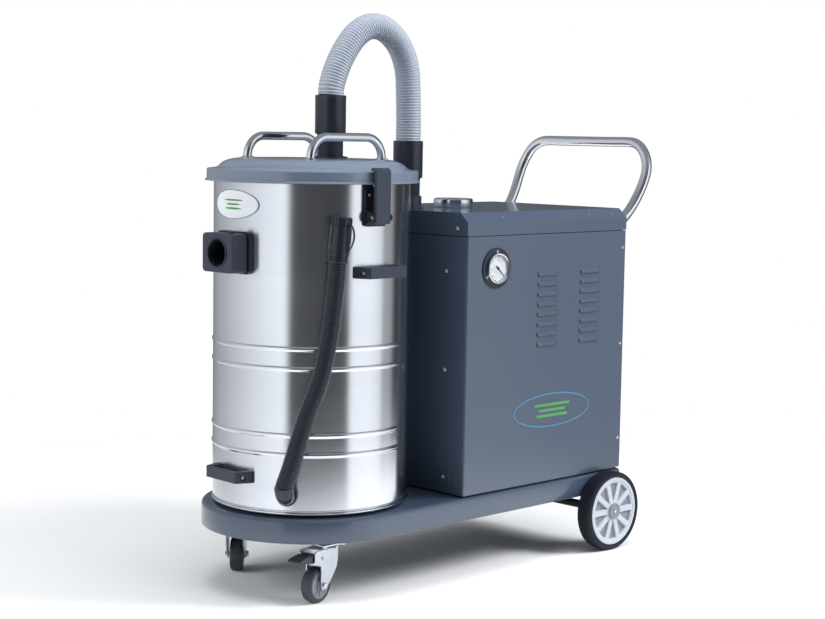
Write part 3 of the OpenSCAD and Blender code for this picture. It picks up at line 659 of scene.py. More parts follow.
# A rib's outline along one pitch, as (share of the pitch, share of the groove's depth)
ROUND_RIB = [
    (0, 0.0), (0.22, 0.06), (0.36, 0.45), (0.44, 0.95), (0.52, 1.0), (0.60, 0.95), (0.70, 0.4), (0.84, 0.05),
]
DEEP_RIB = [(0, 0.0), (0.18, 0.05), (0.32, 0.5), (0.45, 1.0), (0.62, 1.0), (0.75, 0.5), (0.88, 0.05)]


def make_hose(name, route, diameter, groove, pitch, rib, finish, body, replaces, **lie):
    path = along(route, 4)
    shape = ribbed(path, diameter / 2, groove, pitch, rib)
    hose = piece(name, shape, finish, body, replaces, sharp=180)


def make_suction_hose():
    make_hose(
        "suction_hose_ribbed", SUCTION_ROUTE, SUCTION_D, 1.6, SUCTION_PITCH, ROUND_RIB, "hose_grey", "hose",
        ["suction_hose"], far_end="object", stiffness="stiff",
    )


def make_drain_hose(ends):
    make_hose(
        "drain_hose_corrugated", DRAIN_ROUTE, DRAIN_D, 2.2, DRAIN_PITCH, DEEP_RIB, "hose_black", "drum",
        ["drain_hose"], far_end="fitting", stiffness="medium", with_pieces=ends,
    )


# The drain cuff's own place: its foot and its slight tilt
DRAIN_CUFF = at(*DRAIN_ROUTE[-1]) @ about("Y", DRAIN_TILT[1]) @ about("X", DRAIN_TILT[0])


def make_drain_fittings():
    """The cuff on the hose's end, its knurled stopper, and the strap that keeps the stopper."""
    body = lathe([
        (0, -4), (20.6, -4), (22, -2.5), (22, -0.5), (20.6, 0.5), (20.6, 2), (22, 3), (22, 5), (20.6, 6),
        (20.6, 7.5), (22, 8.5), (22, 15), (24, 15.8), (24, 19.4), (23, 20.2), (23, 28), (23.6, 28.6),
        (23.6, 31), (23, 31.6), (22.8, 72), (22, 73), (16, 73), (16, 84), (15, 85), (0, 85),
    ], 64)
    rib = prism(shifted(rounded(3, 34, 1.2, 3), 0, 52), 22.4, 24.0, "X")
    cuff = joined(body, *around(rib, range(0, 360, 45)))
    cap = lathe([
        (0, 85.4), (16.3, 85.4), (16.3, 73.1), (21.8, 73.1), (22.6, 74), (22.6, 90), (21, 92), (14, 92),
        (12.5, 90.6), (0, 90.6),
    ], 64)
    stopper = joined(cap, *around(block((21.8, -1.1, 75), (23.8, 1.1, 89.5)), range(0, 360, 18)))
    loop = [(23.6, 2, 80), (30, 5, 74), (34, 8, 62), (34.5, 9, 48), (31, 8, 34), (26, 5, 22), (24, 2, 17)]
    band = strap(along(loop, 3), 5.5, 1.8, (0, 1, 0))
    made = []
    for name, shape, rider, replaces in (
        ("drain_cuff_moulded", cuff, "drum", ["drain_cuff"]),
        ("drain_cap_knurled", stopper, "drain_stopper", ["drain_cap"]),
        ("drain_cap_strap", band, "drum", []),
    ):
        made.append(piece(name, placed(shape, DRAIN_CUFF), "black_plastic", rider, replaces))
    return made


# ---------------------------------------------------------------- drum

DRUM_LOW, DRUM_HIGH = span("drum_shell")
FOOT_PROUD = 4
DRUM_Y = middle("lid").y
DRUM_R = (DRUM_HIGH.x - DRUM_LOW.x) / 2 - FOOT_PROUD
AT_DRUM = at(0, DRUM_Y, 0)

BEADS = [326.4, 368.7, 512.9, 555.9]
# The lower half of a raised bead: it runs into the wall with a small hollow. (proud of the wall, height)
BEAD = [(0, -7.5), (-0.3, -6), (0.2, -4.8), (1.3, -3.4), (2.2, -1.8), (2.5, 0)]

INLET_Z = 757
INLET_HOLE_R = 29.3
DRAIN_HOLE_R = 18
DRAIN_SOCKET_Z, DRAIN_SOCKET_TURN = 240, -54
DRAIN_SOCKET = AT_DRUM @ at(0, 0, DRAIN_SOCKET_Z) @ about("Z", DRAIN_SOCKET_TURN) @ FACE_X
DRAIN_CLIP_TURN = -29
SEAM_TURN = 150
FRONT_TURN = -92.5


def make_drum():
    r = DRUM_R
    foot, top = DRUM_LOW.z, DRUM_HIGH.z
    outline = [(0, foot + 16)] + shifted([(-7, 16), (-7, 0.4), (-3, 0.4)], r, foot)
    outline += arc((r - 1.6, foot + 4.4), 3.6, -80, 75, 8)
    outline += shifted([(-1.6, 8.6), (-1.4, 10.4), (-0.3, 11.4), (0, 12.6)], r, foot)
    for z in BEADS:
        outline += shifted(mirrored(BEAD, 1), r, z)
    outline += [(r, 700), (r, top - 8)] + arc((r + 1, top - 3), 3, -120, 150, 9)
    outline += [(r - 2, top - 4), (r - 2, foot + 22), (r - 6, foot + 18), (0, foot + 18)]
    inlet_hole = placed(disc(INLET_HOLE_R, -300, 0, 48), at(0, DRUM_Y, INLET_Z), FACE_Y)
    drain_hole = placed(disc(DRAIN_HOLE_R, 150, 260, 32), DRAIN_SOCKET)
    piece(
        "drum_wall", placed(lathe(outline, 192), AT_DRUM), "drum_steel", "drum", ["drum_shell"],
        cuts=[inlet_hole, drain_hole], sharp=50,
    )
    seam = block((-0.8, -0.25, foot + 14), (0.8, 0.35, top - 9))
    place = AT_DRUM @ about("Z", SEAM_TURN) @ at(r, 0, 0) @ about("Z", -90)
    piece("drum_weld_seam", placed(seam, place), "polished_steel", "drum", bevel=0.3, slot="drum_steel")


def drum_cutter():
    """The drum's outside, which fittings on it are cut back from."""
    return placed(disc(DRUM_R + 0.1, 100, 1000, 360), AT_DRUM)


CARRY_Z, TIPPING_Z = 720, 272
HANDLE_TALL = 25
# Halves of a moulded handle's outline from above, out from the drum's axis: splayed foot, straight grip.
# Then a screw's place in a foot: how far out, how far across, and its turn
HANDLE_OUTER = [(205, -68), (214, -68), (218, -66.5), (247, -55.5), (250, -52)]
HANDLE_INNER = [(205, 44), (236, 44), (240, 40)]
HANDLE_SCREW = (233, 61, 69)


def make_side_handle(name, turn, z, replaces):
    place = AT_DRUM @ at(0, 0, z) @ about("Z", turn)
    grip = prism(mirrored(HANDLE_OUTER) + mirrored(HANDLE_INNER), -HANDLE_TALL / 2, HANDLE_TALL / 2)
    out, across, splay = HANDLE_SCREW
    cuts, heads = [], []
    for side in (-1, 1):
        screw = place @ at(out, side * across, 0) @ about("Z", side * splay) @ FACE_X
        cuts.append(placed(disc(6.5, -4.5, 8), screw))
        heads.append(placed(screw_head(4.6, 2.2), screw, at(0, 0, -4.6)))
    cuts.append(drum_cutter())
    piece(name, placed(grip, place), "slate_plastic", "drum", replaces, cuts=cuts, bevel=2.2)
    piece(name + "_screws", joined(*heads), "zinc", "drum")


LATCH_PIN = pivot("latch_right_open") - Vector((0, DRUM_Y, 0))
LATCH_PIN_X = math.hypot(LATCH_PIN.x, LATCH_PIN.y)
LATCH_PIN_Z = LATCH_PIN.z
LATCH_TURN = math.degrees(math.atan2(LATCH_PIN.y, LATCH_PIN.x))
LATCH_REACH = 253
LATCH_HALF = 20
# Side views of the hook, from the lever's back and top, and of a cheek, from its back and bottom
LATCH_HOOK = [
    (-9.5, -7), (-9.5, -1.5), (-6, 0), (2, 0), (8, -2.5), (10.4, -7), (10.4, -20), (3, -20), (1.5, -9),
    (-2, -7),
]
LATCH_CHEEK = [(0.2, 22), (3, 60), (6, 60), (6, 2), (1, 2)]


def latch_frame(side):
    """Places a latch that is drawn on the right-hand side of the drum."""
    turned = AT_DRUM @ about("Z", LATCH_TURN)
    return turned if side > 0 else turned @ MIRROR_X


def make_latch(side_name, side):
    low, high = span(f"latch_lever_{side_name}")
    reach, half = LATCH_REACH, LATCH_HALF
    bottom, top = low.z, high.z
    x = reach - 11
    front = slab(2 * half, top - bottom - 6, 5, (0, (top + bottom - 6) / 2), x + 2, reach, "X")
    hook = prism(shifted(LATCH_HOOK, x, top), -half + 0.5, half - 0.5, "Y")
    cheeks = [prism(shifted(LATCH_CHEEK, x, bottom), start, start + 4, "Y") for start in (-half, half - 4)]
    lever = joined(front, hook, *cheeks)
    name = f"latch_{side_name}"
    replaces = [f"latch_lever_{side_name}"]
    piece(name + "_lever", placed(lever, latch_frame(side)), "slate_plastic", name, replaces, bevel=1.3)


def make_latch_base(side_name, side):
    x, z = LATCH_PIN_X, LATCH_PIN_Z
    place = latch_frame(side)
    name = f"latch_{side_name}"
    plate = slab(56, 84, 6, (0, z + 22), 205, 227, "X")
    piece(
        name + "_plate", placed(plate, place), "black_plastic", "drum", right_only(side, "latch_bases"),
        cuts=[drum_cutter()], bevel=1.6,
    )
    lug = [(222, z - 14), (x, z - 9), *arc((x, z), 7, -80, 80, 8), (222, z + 18)]
    lugs = [prism(lug, start, start + 4, "Y") for start in (-26, 22)]
    rod = placed(disc(3, -28, 28), at(x, 0, z), FACE_Y)
    rivets = [placed(screw_head(4, 2), at(x, 26.2 * s, z), about("X", -90 * s)) for s in (-1, 1)]
    studs = [placed(screw_head(3.4, 1.8), at(226.6, y, z + 48), FACE_X) for y in (-18, 18)]
    piece(name + "_lugs", placed(joined(*lugs), place), "black_plastic", "drum", bevel=0.8)
    piece(name + "_pin", placed(joined(rod, *rivets, *studs), place), "zinc", "drum")


def make_inlet():
    front = span("inlet_block")[0].y
    width, height = 102, 84
    wall = DRUM_Y - DRUM_R
    seam = wall - 9
    facing_front = at(0, front, INLET_Z) @ FACE_Y
    bore = placed(disc(29, -5, 120, 64), facing_front)
    low, high = span("inlet_button")
    pocket = block(low - Vector((0.5, 0.5, 4.5)), high + Vector((0.5, 0.5, 20)))

    def step(wider, radius, start, end):
        return slab(width + wider, height + wider, radius, (0, INLET_Z), start, end, "Y")

    piece(
        "inlet_socket_block", step(0, 9, front + 2, seam), "slate_plastic", "drum", ["inlet_block"],
        cuts=[bore, pocket], bevel=2.6, slot="black_plastic",
    )
    piece("inlet_socket_neck", step(-5, 7, seam - 0.5, seam + 3), "black_plastic", "drum", cuts=[bore])
    piece(
        "inlet_socket_flange", step(7, 11, seam + 2.5, wall + 14), "black_plastic", "drum",
        cuts=[bore, drum_cutter()], bevel=2.2,
    )
    lip = [(29, 14), (29, 1.2), (30, 0), (32.2, 0), (33.4, 1.0), (33.4, 4), (32, 4), (30.5, 14)]
    piece("inlet_socket_lip", placed(lathe(lip, 72, closed=True), facing_front), "black_plastic", "drum")
    sleeve = lathe([(28.9, 8), (28.9, 50), (24, 52), (24, 54), (29.2, 54), (29.2, 8)], 64, closed=True)
    key = block((-3, 25.5, 8), (3, 29.2, 46))
    piece("inlet_socket_sleeve", placed(joined(sleeve, key), facing_front), "black_plastic", "drum")
    make_release_button(low, high)


def make_release_button(low, high):
    size = high - low
    centre = (low + high) / 2
    cap = slab(size.x, size.y, 2.5, (centre.x, centre.y), low.z, high.z)
    ridges = [
        block((low.x + 3, centre.y + start, high.z - 0.4), (high.x - 3, centre.y + start + 1.2, high.z + 0.3))
        for start in (-3.4, -0.6, 2.2)
    ]
    button = joined(cap, *ridges)
    piece("inlet_release_button", button, "slate_plastic", "inlet_release", ["inlet_button"], bevel=0.5)


def make_drain_elbow():
    collar = placed(lathe([(0, 190), (24, 190), (24, 227), (23, 229), (0, 229)], 64), DRAIN_SOCKET)
    cuts = [drum_cutter()]
    piece("drain_elbow_collar", collar, "black_plastic", "drum", cuts=cuts, bevel=0.8, slot="hose_black")
    path = along(ELBOW_ROUTE, 3)
    radii = [20.4] * (len(path) - 3) + [21.2] * 3
    piece("drain_elbow_bend", tube(sections(path), radii, 48), "hose_black", "drum", ["drain_elbow"])


def make_drain_clip():
    arm = slab(28, 20, 3, (0, middle("drain_clip").z), 208, 236, "X")
    arm = placed(arm, AT_DRUM, about("Z", DRAIN_CLIP_TURN))
    cuts = [placed(disc(23.2, 0, 110, 96), DRAIN_CUFF), drum_cutter()]
    piece("drain_hose_clip", arm, "black_plastic", "drum", ["drain_clip"], cuts=cuts, bevel=0.8)


def oval_patch(half_w, half_h, radius, thickness, rings=10, steps=72, hole=0.0):
    """An oval plate that is wrapped on a cylinder round Z, or a ring if it has a hole."""
    def layer(r):
        rows = []
        for i in range(rings + 1):
            share = hole + (1 - hole) * i / rings
            turns = [(share * half_w * c / radius, share * half_h * s) for c, s in circle(steps)]
            rows.append([(r * math.cos(turn), r * math.sin(turn), z) for turn, z in turns])
        return rows
    if hole:
        return loft(layer(radius + thickness) + layer(radius)[::-1], closed_along=True)
    return loft(layer(radius + thickness)[1:] + layer(radius)[:0:-1])


BADGE_Z = 860
BADGE_SIZE = (78, 31.5)
BADGE_BARS = ((66, 9), (48, 0), (57, -9))


def make_drum_badge():
    """A plain oval plate with a border and three bars. It carries no lettering."""
    place = AT_DRUM @ at(0, 0, BADGE_Z) @ about("Z", FRONT_TURN)
    r = DRUM_R + 0.15
    border = oval_patch(*BADGE_SIZE, r + 0.05, 1.1, 1, 96, hole=0.965)
    piece("drum_badge_plate", placed(oval_patch(*BADGE_SIZE, r, 0.7), place), "dial_white", "drum", sharp=60)
    piece("drum_badge_border", placed(border, place), "badge_blue", "drum", slot="paint_lid", sharp=60)
    for i, (width, rise) in enumerate(BADGE_BARS):
        bar = placed(oval_patch(width / 2, 2.0, r + 0.5, 0.7, 4, 48), place, at(0, 0, rise))
        piece(f"drum_badge_bar_{i + 1}", bar, "badge_green", "drum", slot="dial_white", sharp=60)


# ---------------------------------------------------------------- lid

PORT_HOLE_R = 33.6
# The lid's outside: its skirt's lower edge and its rim, from the skirt's wall, and its crown above the rim
LID_SKIRT = [(-2.5, 0), (3.2, 0), (4, 0.8), (4, 1.8), (3.2, 2.8), (1, 4.4), (0, 6.5)]
LID_RIM = [(0, -3.5), (-0.9, -1.2), (-3, 0), (-12, 0.3)]
LID_CROWN = [(214, 1.2), (211.5, 3.4), (207, 9), (200, 14.4), (190, 18.8), (178, 21.8), (165, 23.4)]


def make_lid():
    low, high = span("lid")
    edge = (high.x - low.x) / 2 - 4
    base, top = low.z, high.z
    rim = base + 27
    outline = [(0, top - 2.5), (150, top - 2.5), (205, rim + 6), (edge - 2.5, rim - 3)]
    outline += shifted(LID_SKIRT, edge, base) + shifted(LID_RIM, edge, rim) + shifted(LID_CROWN, 0, rim)
    outline += [(150, top), (60, top), (0, top)]
    port = middle("lid_port")
    hole = placed(disc(PORT_HOLE_R, -60, 30, 64), at(port.x, port.y, top))
    shape = placed(lathe(outline, 192), AT_DRUM)
    piece("lid_pressing", shape, "paint_lid", "lid", ["lid"], cuts=[hole], sharp=40)


def make_lid_handles():
    low, high = span("lid_handles")
    radius, bend, foot_r = 9.5, 46, 15.5
    foot, top = low.z, high.z - radius
    half = (high.y - low.y) / 2 - foot_r
    leg = [(half, foot), (half, foot + 3)] + arc((half - bend, top - bend), bend, 0, 90, 14)
    route = leg + [(-y, z) for y, z in reversed(leg)]
    bar = pipe([Vector((0, y, z)) for y, z in route], radius, 40)
    collar = lathe(shifted([(0, 0), (15.2, 0), (15.2, 0.8), (12, 2.0), (9.6, 3), (0, 3)], 0, foot), 48)
    collars = joined(*[placed(collar, at(0, y, 0)) for y in (-half, half)])
    for side_name, side in SIDES:
        place = at(side * (high.x - foot_r), (high.y + low.y) / 2, 0)
        name = f"lid_handle_{side_name}"
        piece(name, placed(bar, place), "polished_steel", "lid", right_only(side, "lid_handles"))
        piece(name + "_feet", placed(collars, place), "polished_steel", "lid")


CUFF_RISE = 170
# A hose cuff from its nose's foot: narrow nose, wide collar with a rolled mouth, and its bore
CUFF = [
    (25, 0), (28, 0), (28.8, 1.5), (29, 4), (29, 80), (31, 83), (34.2, 84), (34.8, 86), (34.8, 160),
    (35, 161), (35, 168), (34, 170), (31, 170), (30.2, 168.8), (29.8, 120), (25, 110),
]


def make_cuffs():
    for name, (x, y, z), replaces in (
        ("lid", SUCTION_ROUTE[0], ["hose_cuffs"]), ("cabinet", SUCTION_ROUTE[-1], []),
    ):
        cuff = placed(lathe(CUFF, 72, closed=True), at(x, y, z - CUFF_RISE))
        piece(f"hose_cuff_{name}", cuff, "black_plastic", "hose", replaces, sharp=40)


def make_suction_port():
    """A short black pipe with a moulded flange, which a cuff's nose stands in."""
    low, high = span("suction_port")
    flange = shifted([(33.3, 0), (38.3, 0.2), (38.3, 3), (36.5, 4.6), (33.6, 5)], 0, high.z - 30)
    mouth = shifted([(33.3, -1), (32.6, 0), (29.9, 0), (29.3, -0.8)], 0, high.z)
    outline = [(29.3, low.z + 0.2), (33.3, low.z + 0.2), *flange, *mouth]
    centre = middle("suction_port")
    port = placed(lathe(outline, 72, closed=True), at(centre.x, centre.y, 0))
    piece("suction_port_pipe", port, "black_plastic", "trolley", ["suction_port"])


# ---------------------------------------------------------------- cabinet

# The outer face of the cabinet's side walls, and the slope along the cover's long edges
WALL_X = 236.5
SLOPE_RUN, SLOPE_RISE = 24.5, 21.5
SHEET = 2

LOUVRE_COLUMNS = [188, 343]
LOUVRE_ROWS = [527 + 23.8 * row for row in range(8)]
LOUVRE_HALF = 38

EXHAUST_HOLE_R = 42.8
# Openings in the rear panel behind the mains gland and the switch box: x, z, radius
REAR_HOLES = [(-120, 250, 10), (110, 690, 12)]


def panel_outline(y0, y1, wrap=46, bend=4):
    """A side panel from above: a flat side with returns round both ends, bent with a small radius."""
    x, inner = WALL_X, bend - SHEET
    outer = [(x - wrap, y0)] + arc((x - bend, y0 + bend), bend, -90, 0, 5)
    outer += arc((x - bend, y1 - bend), bend, 0, 90, 5) + [(x - wrap, y1)]
    back = [(x - wrap, y1 - SHEET)] + arc((x - bend, y1 - bend), inner, 90, 0, 5)
    back += arc((x - bend, y0 + bend), inner, 0, -90, 5) + [(x - wrap, y0 + SHEET)]
    return outer + back


LOUVRE_TOP, LOUVRE_TALL = 8.5, 13.5
LOUVRE_FLAT = 0.72


def louvre_hood(across=20, down=8, proud=4.8, thickness=1.2):
    """A pressed hood, about its own middle: it swells outward to an open lower lip, with round ends."""
    rings = []
    for j in range(down + 1):
        v = j / down
        z = LOUVRE_TOP - LOUVRE_TALL * v
        front, back = [], []
        for i in range(across + 1):
            u = -1 + 2 * i / across
            fall = max(0.0, (abs(u) - LOUVRE_FLAT) / (1 - LOUVRE_FLAT))
            swell = proud * math.sin(v * math.pi / 2) ** 0.85 * math.sqrt(max(0.0, 1 - fall * fall))
            x = WALL_X - 0.4 + swell
            front.append((x, u * LOUVRE_HALF, z))
            back.append((x - thickness, u * LOUVRE_HALF, z))
        rings.append(front + back[::-1])
    return loft(rings)


def make_side_panel(name, side):
    low, high = span("cabinet_side_right")
    slot_half = LOUVRE_HALF - 3
    cuts, hoods = [], []
    for y in LOUVRE_COLUMNS:
        for z in LOUVRE_ROWS:
            cuts.append(block((WALL_X - 6.5, y - slot_half, z - 4.5), (WALL_X + 3.5, y + slot_half, z + 4.5)))
            hoods.append(placed(louvre_hood(), at(0, y, z)))
    if side > 0:
        cuts.append(placed(disc(34, -12, 12, 64), GAUGE))
    move = Matrix.Identity(4) if side > 0 else MIRROR_X
    panel = placed(prism(panel_outline(low.y, high.y), low.z, high.z), move)
    piece(
        f"cabinet_panel_{name}", panel, "paint_dark", "trolley", [f"cabinet_side_{name}"],
        cuts=[placed(cut, move) for cut in cuts], sharp=25,
    )
    piece(f"cabinet_louvres_{name}", placed(joined(*hoods), move), "paint_dark", "trolley", sharp=50)


def make_end_panels():
    for end, openings in (("front", []), ("rear", REAR_HOLES)):
        low, high = span(f"cabinet_{end}_panel")
        cuts = [placed(disc(r, -20, 20, 32), at(x, high.y, z), FACE_Y) for x, z, r in openings]
        name = f"cabinet_panel_{end}"
        piece(name, block(low, high), "paint_dark", "trolley", [f"cabinet_{end}_panel"], cuts=cuts, bevel=1.2)


def cover_outline(inset, base):
    """The cover's section, drawn inset by a sheet's thickness for its hollow."""
    high = span("cabinet_cover")[1]
    x, top = high.x - inset, high.z - inset
    run, rise = SLOPE_RUN - inset / 2, SLOPE_RISE - inset / 2
    return [(-x, base), (-x, top - rise), (-x + run, top), (x - run, top), (x, top - rise), (x, base)]


def make_cover():
    low, high = span("cabinet_cover")
    shape = prism(cover_outline(0, low.z), low.y, high.y, "Y")
    hollow = prism(cover_outline(SHEET, low.z - 5), low.y + SHEET, high.y - SHEET, "Y")
    cuts = [hollow]
    for node_name, radius in (("suction_port", PORT_HOLE_R), ("exhaust_outlet", EXHAUST_HOLE_R)):
        cuts.append(placed(disc(radius, -30, 30, 64), at(0, middle(node_name).y, high.z)))
    piece("cabinet_top_cover", shape, "paint_dark", "trolley", ["cabinet_cover"], cuts=cuts, bevel=1.2)


SIDE_SCREWS_Z = (270, 508, 746)
SLOPE_SCREWS_Y = (40, 348, 435)
SLOPE_TURN = 41.3
FRONT_SCREWS_Z = (230, 480, 707)


def make_cabinet_screws():
    """Screws of the side walls, the cover's slopes, the front panel and the cover's front, both sides."""
    low, high = span("cabinet_cover")
    slope = at(high.x - SLOPE_RUN / 2, 0, high.z - SLOPE_RISE / 2) @ about("Y", SLOPE_TURN) @ at(0, 0, 0.1)
    forward = about("X", 90)
    places = [at(high.x + 0.1, high.y - 12, z) @ FACE_X for z in SIDE_SCREWS_Z]
    places += [at(0, y, 0) @ slope for y in SLOPE_SCREWS_Y]
    places += [at(171, low.y + 0.2, z) @ forward for z in FRONT_SCREWS_Z]
    places.append(at(204, low.y - 0.1, 806) @ forward)
    head = screw_head(4.5, 2.0)
    heads = [placed(head, place) for place in places]
    heads += [placed(head, MIRROR_X, place) for place in places]
    piece("cabinet_screw_heads", joined(*heads), "zinc", "trolley", ["cabinet_screws"])


def make_exhaust():
    low, high = span("exhaust_outlet")
    r = (high.x - low.x) / 2
    foot = shifted([(-8, -14), (-5.2, -14), (-5.2, -0.2), (-0.6, 0.1), (0, 0.8)], r, low.z + 15)
    lip = [(0, -4.5), (-0.4, -2.2), (-1.8, -0.6), (-4, 0), (-6.2, -0.6), (-7.6, -2.2), (-8, -4.5)]
    ring = lathe(foot + shifted(lip, r, high.z), 96, closed=True)
    place = at(0, middle("exhaust_outlet").y, 0)
    piece("exhaust_ring", placed(ring, place), "polished_steel", "trolley", ["exhaust_outlet"], sharp=50)


GAUGE_CENTRE = pivot("gauge_needle_turn")
GAUGE = at(WALL_X, GAUGE_CENTRE.y, GAUGE_CENTRE.z) @ FACE_X
TICKS = 31
NEEDLE_TURN = 48
CLIP_TURNS = (60, 180, 300)


def make_gauge():
    """Black flange, bright bezel, dial with ticks, needle, window and three clips."""
    low, high = span("gauge_case")
    flange_r = (high.y - low.y) / 2
    case = lathe([
        (0, -29), (33, -29), (33, 0.2), (flange_r - 0.6, 0.2), (flange_r, 0.8), (flange_r, 2.2),
        (flange_r - 1, 3), (37, 3.1), (35.5, 3.6), (34.8, 3.6), (34.8, 4.8), (0, 4.8),
    ], 96)
    bezel = lathe([
        (31.6, 4.6), (35.4, 3.2), (35.5, 9.6), (34.6, 10.8), (33.2, 11), (31.9, 10.2), (31.6, 9),
    ], 96, closed=True)
    ticks = [washer(29.3, 28.6, 5.0, 5.2)]
    for k in range(TICKS):
        start, half = (25.5, 0.3) if k % 5 else (22.5, 0.55)
        ticks.append(placed(block((start, -half, 5.0), (28.5, half, 5.25)), about("Z", 45 + 9 * k)))
    clip = [placed(screw_head(3.2, 2.4), at(38.8, 0, 3)), block((34.2, -2.6, 3.0), (39.4, 2.6, 4.2))]
    clips = [copy for shape in clip for copy in around(shape, CLIP_TURNS)]
    window = lathe([(0, 8.2), (31.4, 8.2), (31.4, 9.6), (30.6, 10), (0, 10.2)], 72)
    for name, shape, finish, slot, extra in (
        ("gauge_flange", case, "black_plastic", "dial_white", dict(replaces=["gauge_case"])),
        ("gauge_bezel", bezel, "polished_steel", "dial_white", {}),
        ("gauge_dial", disc(31.7, 4.7, 5.1, 72), "dial_white", None, {}),
        ("gauge_scale", joined(*ticks), "needle_black", None, {}),
        ("gauge_clips", joined(*clips), "rim_white", "zinc", dict(bevel=0.2)),
        ("gauge_window", window, "gauge_glass", None, dict(replaces=["gauge_glass"])),
    ):
        piece(name, placed(shape, GAUGE), finish, "trolley", slot=slot, **extra)
    needle = joined(
        prism([(-8, -1.6), (-8, 1.6), (0, 1.5), (25, 0.25), (25, -0.25), (0, -1.5)], 5.7, 6.5),
        lathe([(1.1, 5.6), (3.4, 5.6), (3.4, 6.6), (2.6, 7.1), (1.1, 7.1)], 32, closed=True),
    )
    pointer = placed(needle, GAUGE, about("Z", NEEDLE_TURN))
    piece("gauge_pointer", pointer, "needle_black", "needle", ["gauge_needle"])


CABINET_BADGE = (WALL_X, 214, 365)


def oval_ring(half_w, half_h, width, thickness):
    """A flat oval border about the origin, in the XY plane."""
    rings = []
    for inset, z in ((0, 0), (0.3, thickness), (width - 0.3, thickness), (width, 0)):
        rings.append([((half_w - inset) * c, (half_h - inset) * s, z) for c, s in circle(120)])
    return loft(rings, closed_along=True)


def make_cabinet_badge():
    """A plain oval border with three bars on the right-hand panel. It carries no lettering."""
    stand = at(*CABINET_BADGE) @ about("Z", 90) @ about("X", 90)
    border = placed(oval_ring(138, 41, 3.6, 0.8), stand)
    bars = [slab(width, 6.5, 3.2, (0, rise), 0, 0.8) for width, rise in ((128, 13), (96, 0), (112, -13))]
    lines = placed(joined(*bars), stand)
    piece("cabinet_badge_border", border, "badge_blue", "trolley", slot="paint_lid")
    piece("cabinet_badge_bars", lines, "badge_green", "trolley", slot="paint_lid", bevel=0.2)


def make_switch_box():
    low, high = span("switch_box")
    width, height = high.x - low.x, high.z - low.z
    centre = middle("switch_box")
    face = high.y - 2
    knob = pivot("switch_turn")
    shaft_hole = placed(disc(5.1, -20, 30, 32), at(knob.x, high.y, knob.z), FACE_Y)
    case = slab(width, height, 7, (centre.x, centre.z), low.y, face, "Y")
    rim = slab(width + 1.2, height + 1.2, 7.5, (centre.x, centre.z), low.y + 12, low.y + 14.5, "Y")
    plate = slab(60, 60, 4, (centre.x, centre.z + 16), face - 0.5, high.y, "Y")
    corners = [(sx * 37, sz * 52) for sx in (-1, 1) for sz in (-1, 1)]
    screws = [placed(screw_head(3, 1.6), at(centre.x + x, face, centre.z + z), FACE_Y) for x, z in corners]
    piece("switch_box_case", case, "black_plastic", "trolley", ["switch_box"], cuts=[shaft_hole], bevel=1.8)
    piece("switch_box_rim", rim, "black_plastic", "trolley", bevel=0.6)
    piece("switch_box_plate", plate, "zinc", "trolley", cuts=[shaft_hole], bevel=0.5, slot="black_plastic")
    piece("switch_box_screws", joined(*screws), "zinc", "trolley", slot="black_plastic")
    make_knob(at(knob.x, high.y + 0.3, knob.z) @ FACE_Y, span("switch_knob")[1].y - high.y - 0.3)


def make_knob(place, rise):
    dial = lathe([(0, -14), (5, -14), (5, 0.3), (17, 0.3), (17, 6), (15.5, 9), (0, 9)], 48)
    grip = prism(rounded(8, 32, 3), 8, rise)
    ridges = around(block((16.6, -1, 0.8), (17.4, 1, 6)), range(0, 360, 20))
    knob = placed(joined(dial, grip, *ridges), place)
    piece("switch_turning_knob", knob, "black_plastic", "knob", ["switch_knob"], bevel=0.7)


def make_mains_gland():
    centre = middle("cable_gland")
    place = at(centre.x, span("cabinet_rear_panel")[1].y, centre.z) @ FACE_Y
    body = lathe([
        (5, -13), (9.8, -13), (9.8, 0.4), (13, 0.4), (13, 2), (10, 2.4), (10, 9.6), (11, 10), (11, 21),
        (9, 24), (5, 24),
    ], 40, closed=True)
    nut, cap = placed(hexagon_nut(14, 5.4, 7), at(0, 0, 1.5)), placed(hexagon_nut(12.6, 5.4, 9), at(0, 0, 10))
    gland = placed(joined(body, nut, cap), place)
    piece("mains_gland", gland, "black_plastic", "trolley", ["cable_gland"], bevel=0.4)


# ---------------------------------------------------------------- trolley

# The right half of the push handle's route, as in part.scad
HANDLE_HALF = [
    (200, 484, 802), (200, 499, 806), (201, 516, 818), (204, 537, 840), (208, 559, 872),
    (211, 576, 905), (210, 588, 934), (202, 596, 960), (186, 601, 984), (164, 605, 999),
    (138, 607, 1004), (70, 607, 1004),
]
HANDLE_R = 12.5
PLATFORM_CORNER = 14


def platform_outline(inset):
    """A round front end and two small rear corners."""
    low, high = span("platform")
    r = (high.x - low.x) / 2
    corner = PLATFORM_CORNER
    x, y = r - 5 - corner, high.y - corner
    outline = arc((0, low.y + r), r - inset, 180, 360, 72)
    return outline + arc((x, y), corner - inset, 0, 90, 12) + arc((-x, y), corner - inset, 90, 180, 12)


def make_platform():
    low, high = span("platform")
    base, top = low.z, high.z
    edge = 8
    bends = [math.radians(d) for d in range(0, 105, 15)]
    profile = [(4, top - 4), (4, base + 0.6), (3.4, base), (0.6, base), (0, base + 0.6), (0, base + 20)]
    profile += [(edge * (1 - math.cos(a)), top - edge + edge * math.sin(a)) for a in bends]
    rings = [[(x, y, z) for x, y in platform_outline(inset)] for inset, z in profile]
    piece("platform_pressing", loft(rings), "paint_dark", "trolley", ["platform"], sharp=50)


def hex_bolt(washer_r, start, end, radius, height):
    """A washer from start to end, with a hexagon head that stands just in it."""
    return joined(disc(washer_r, start, end, 32), placed(hexagon(radius, height), at(0, 0, end - 0.2)))


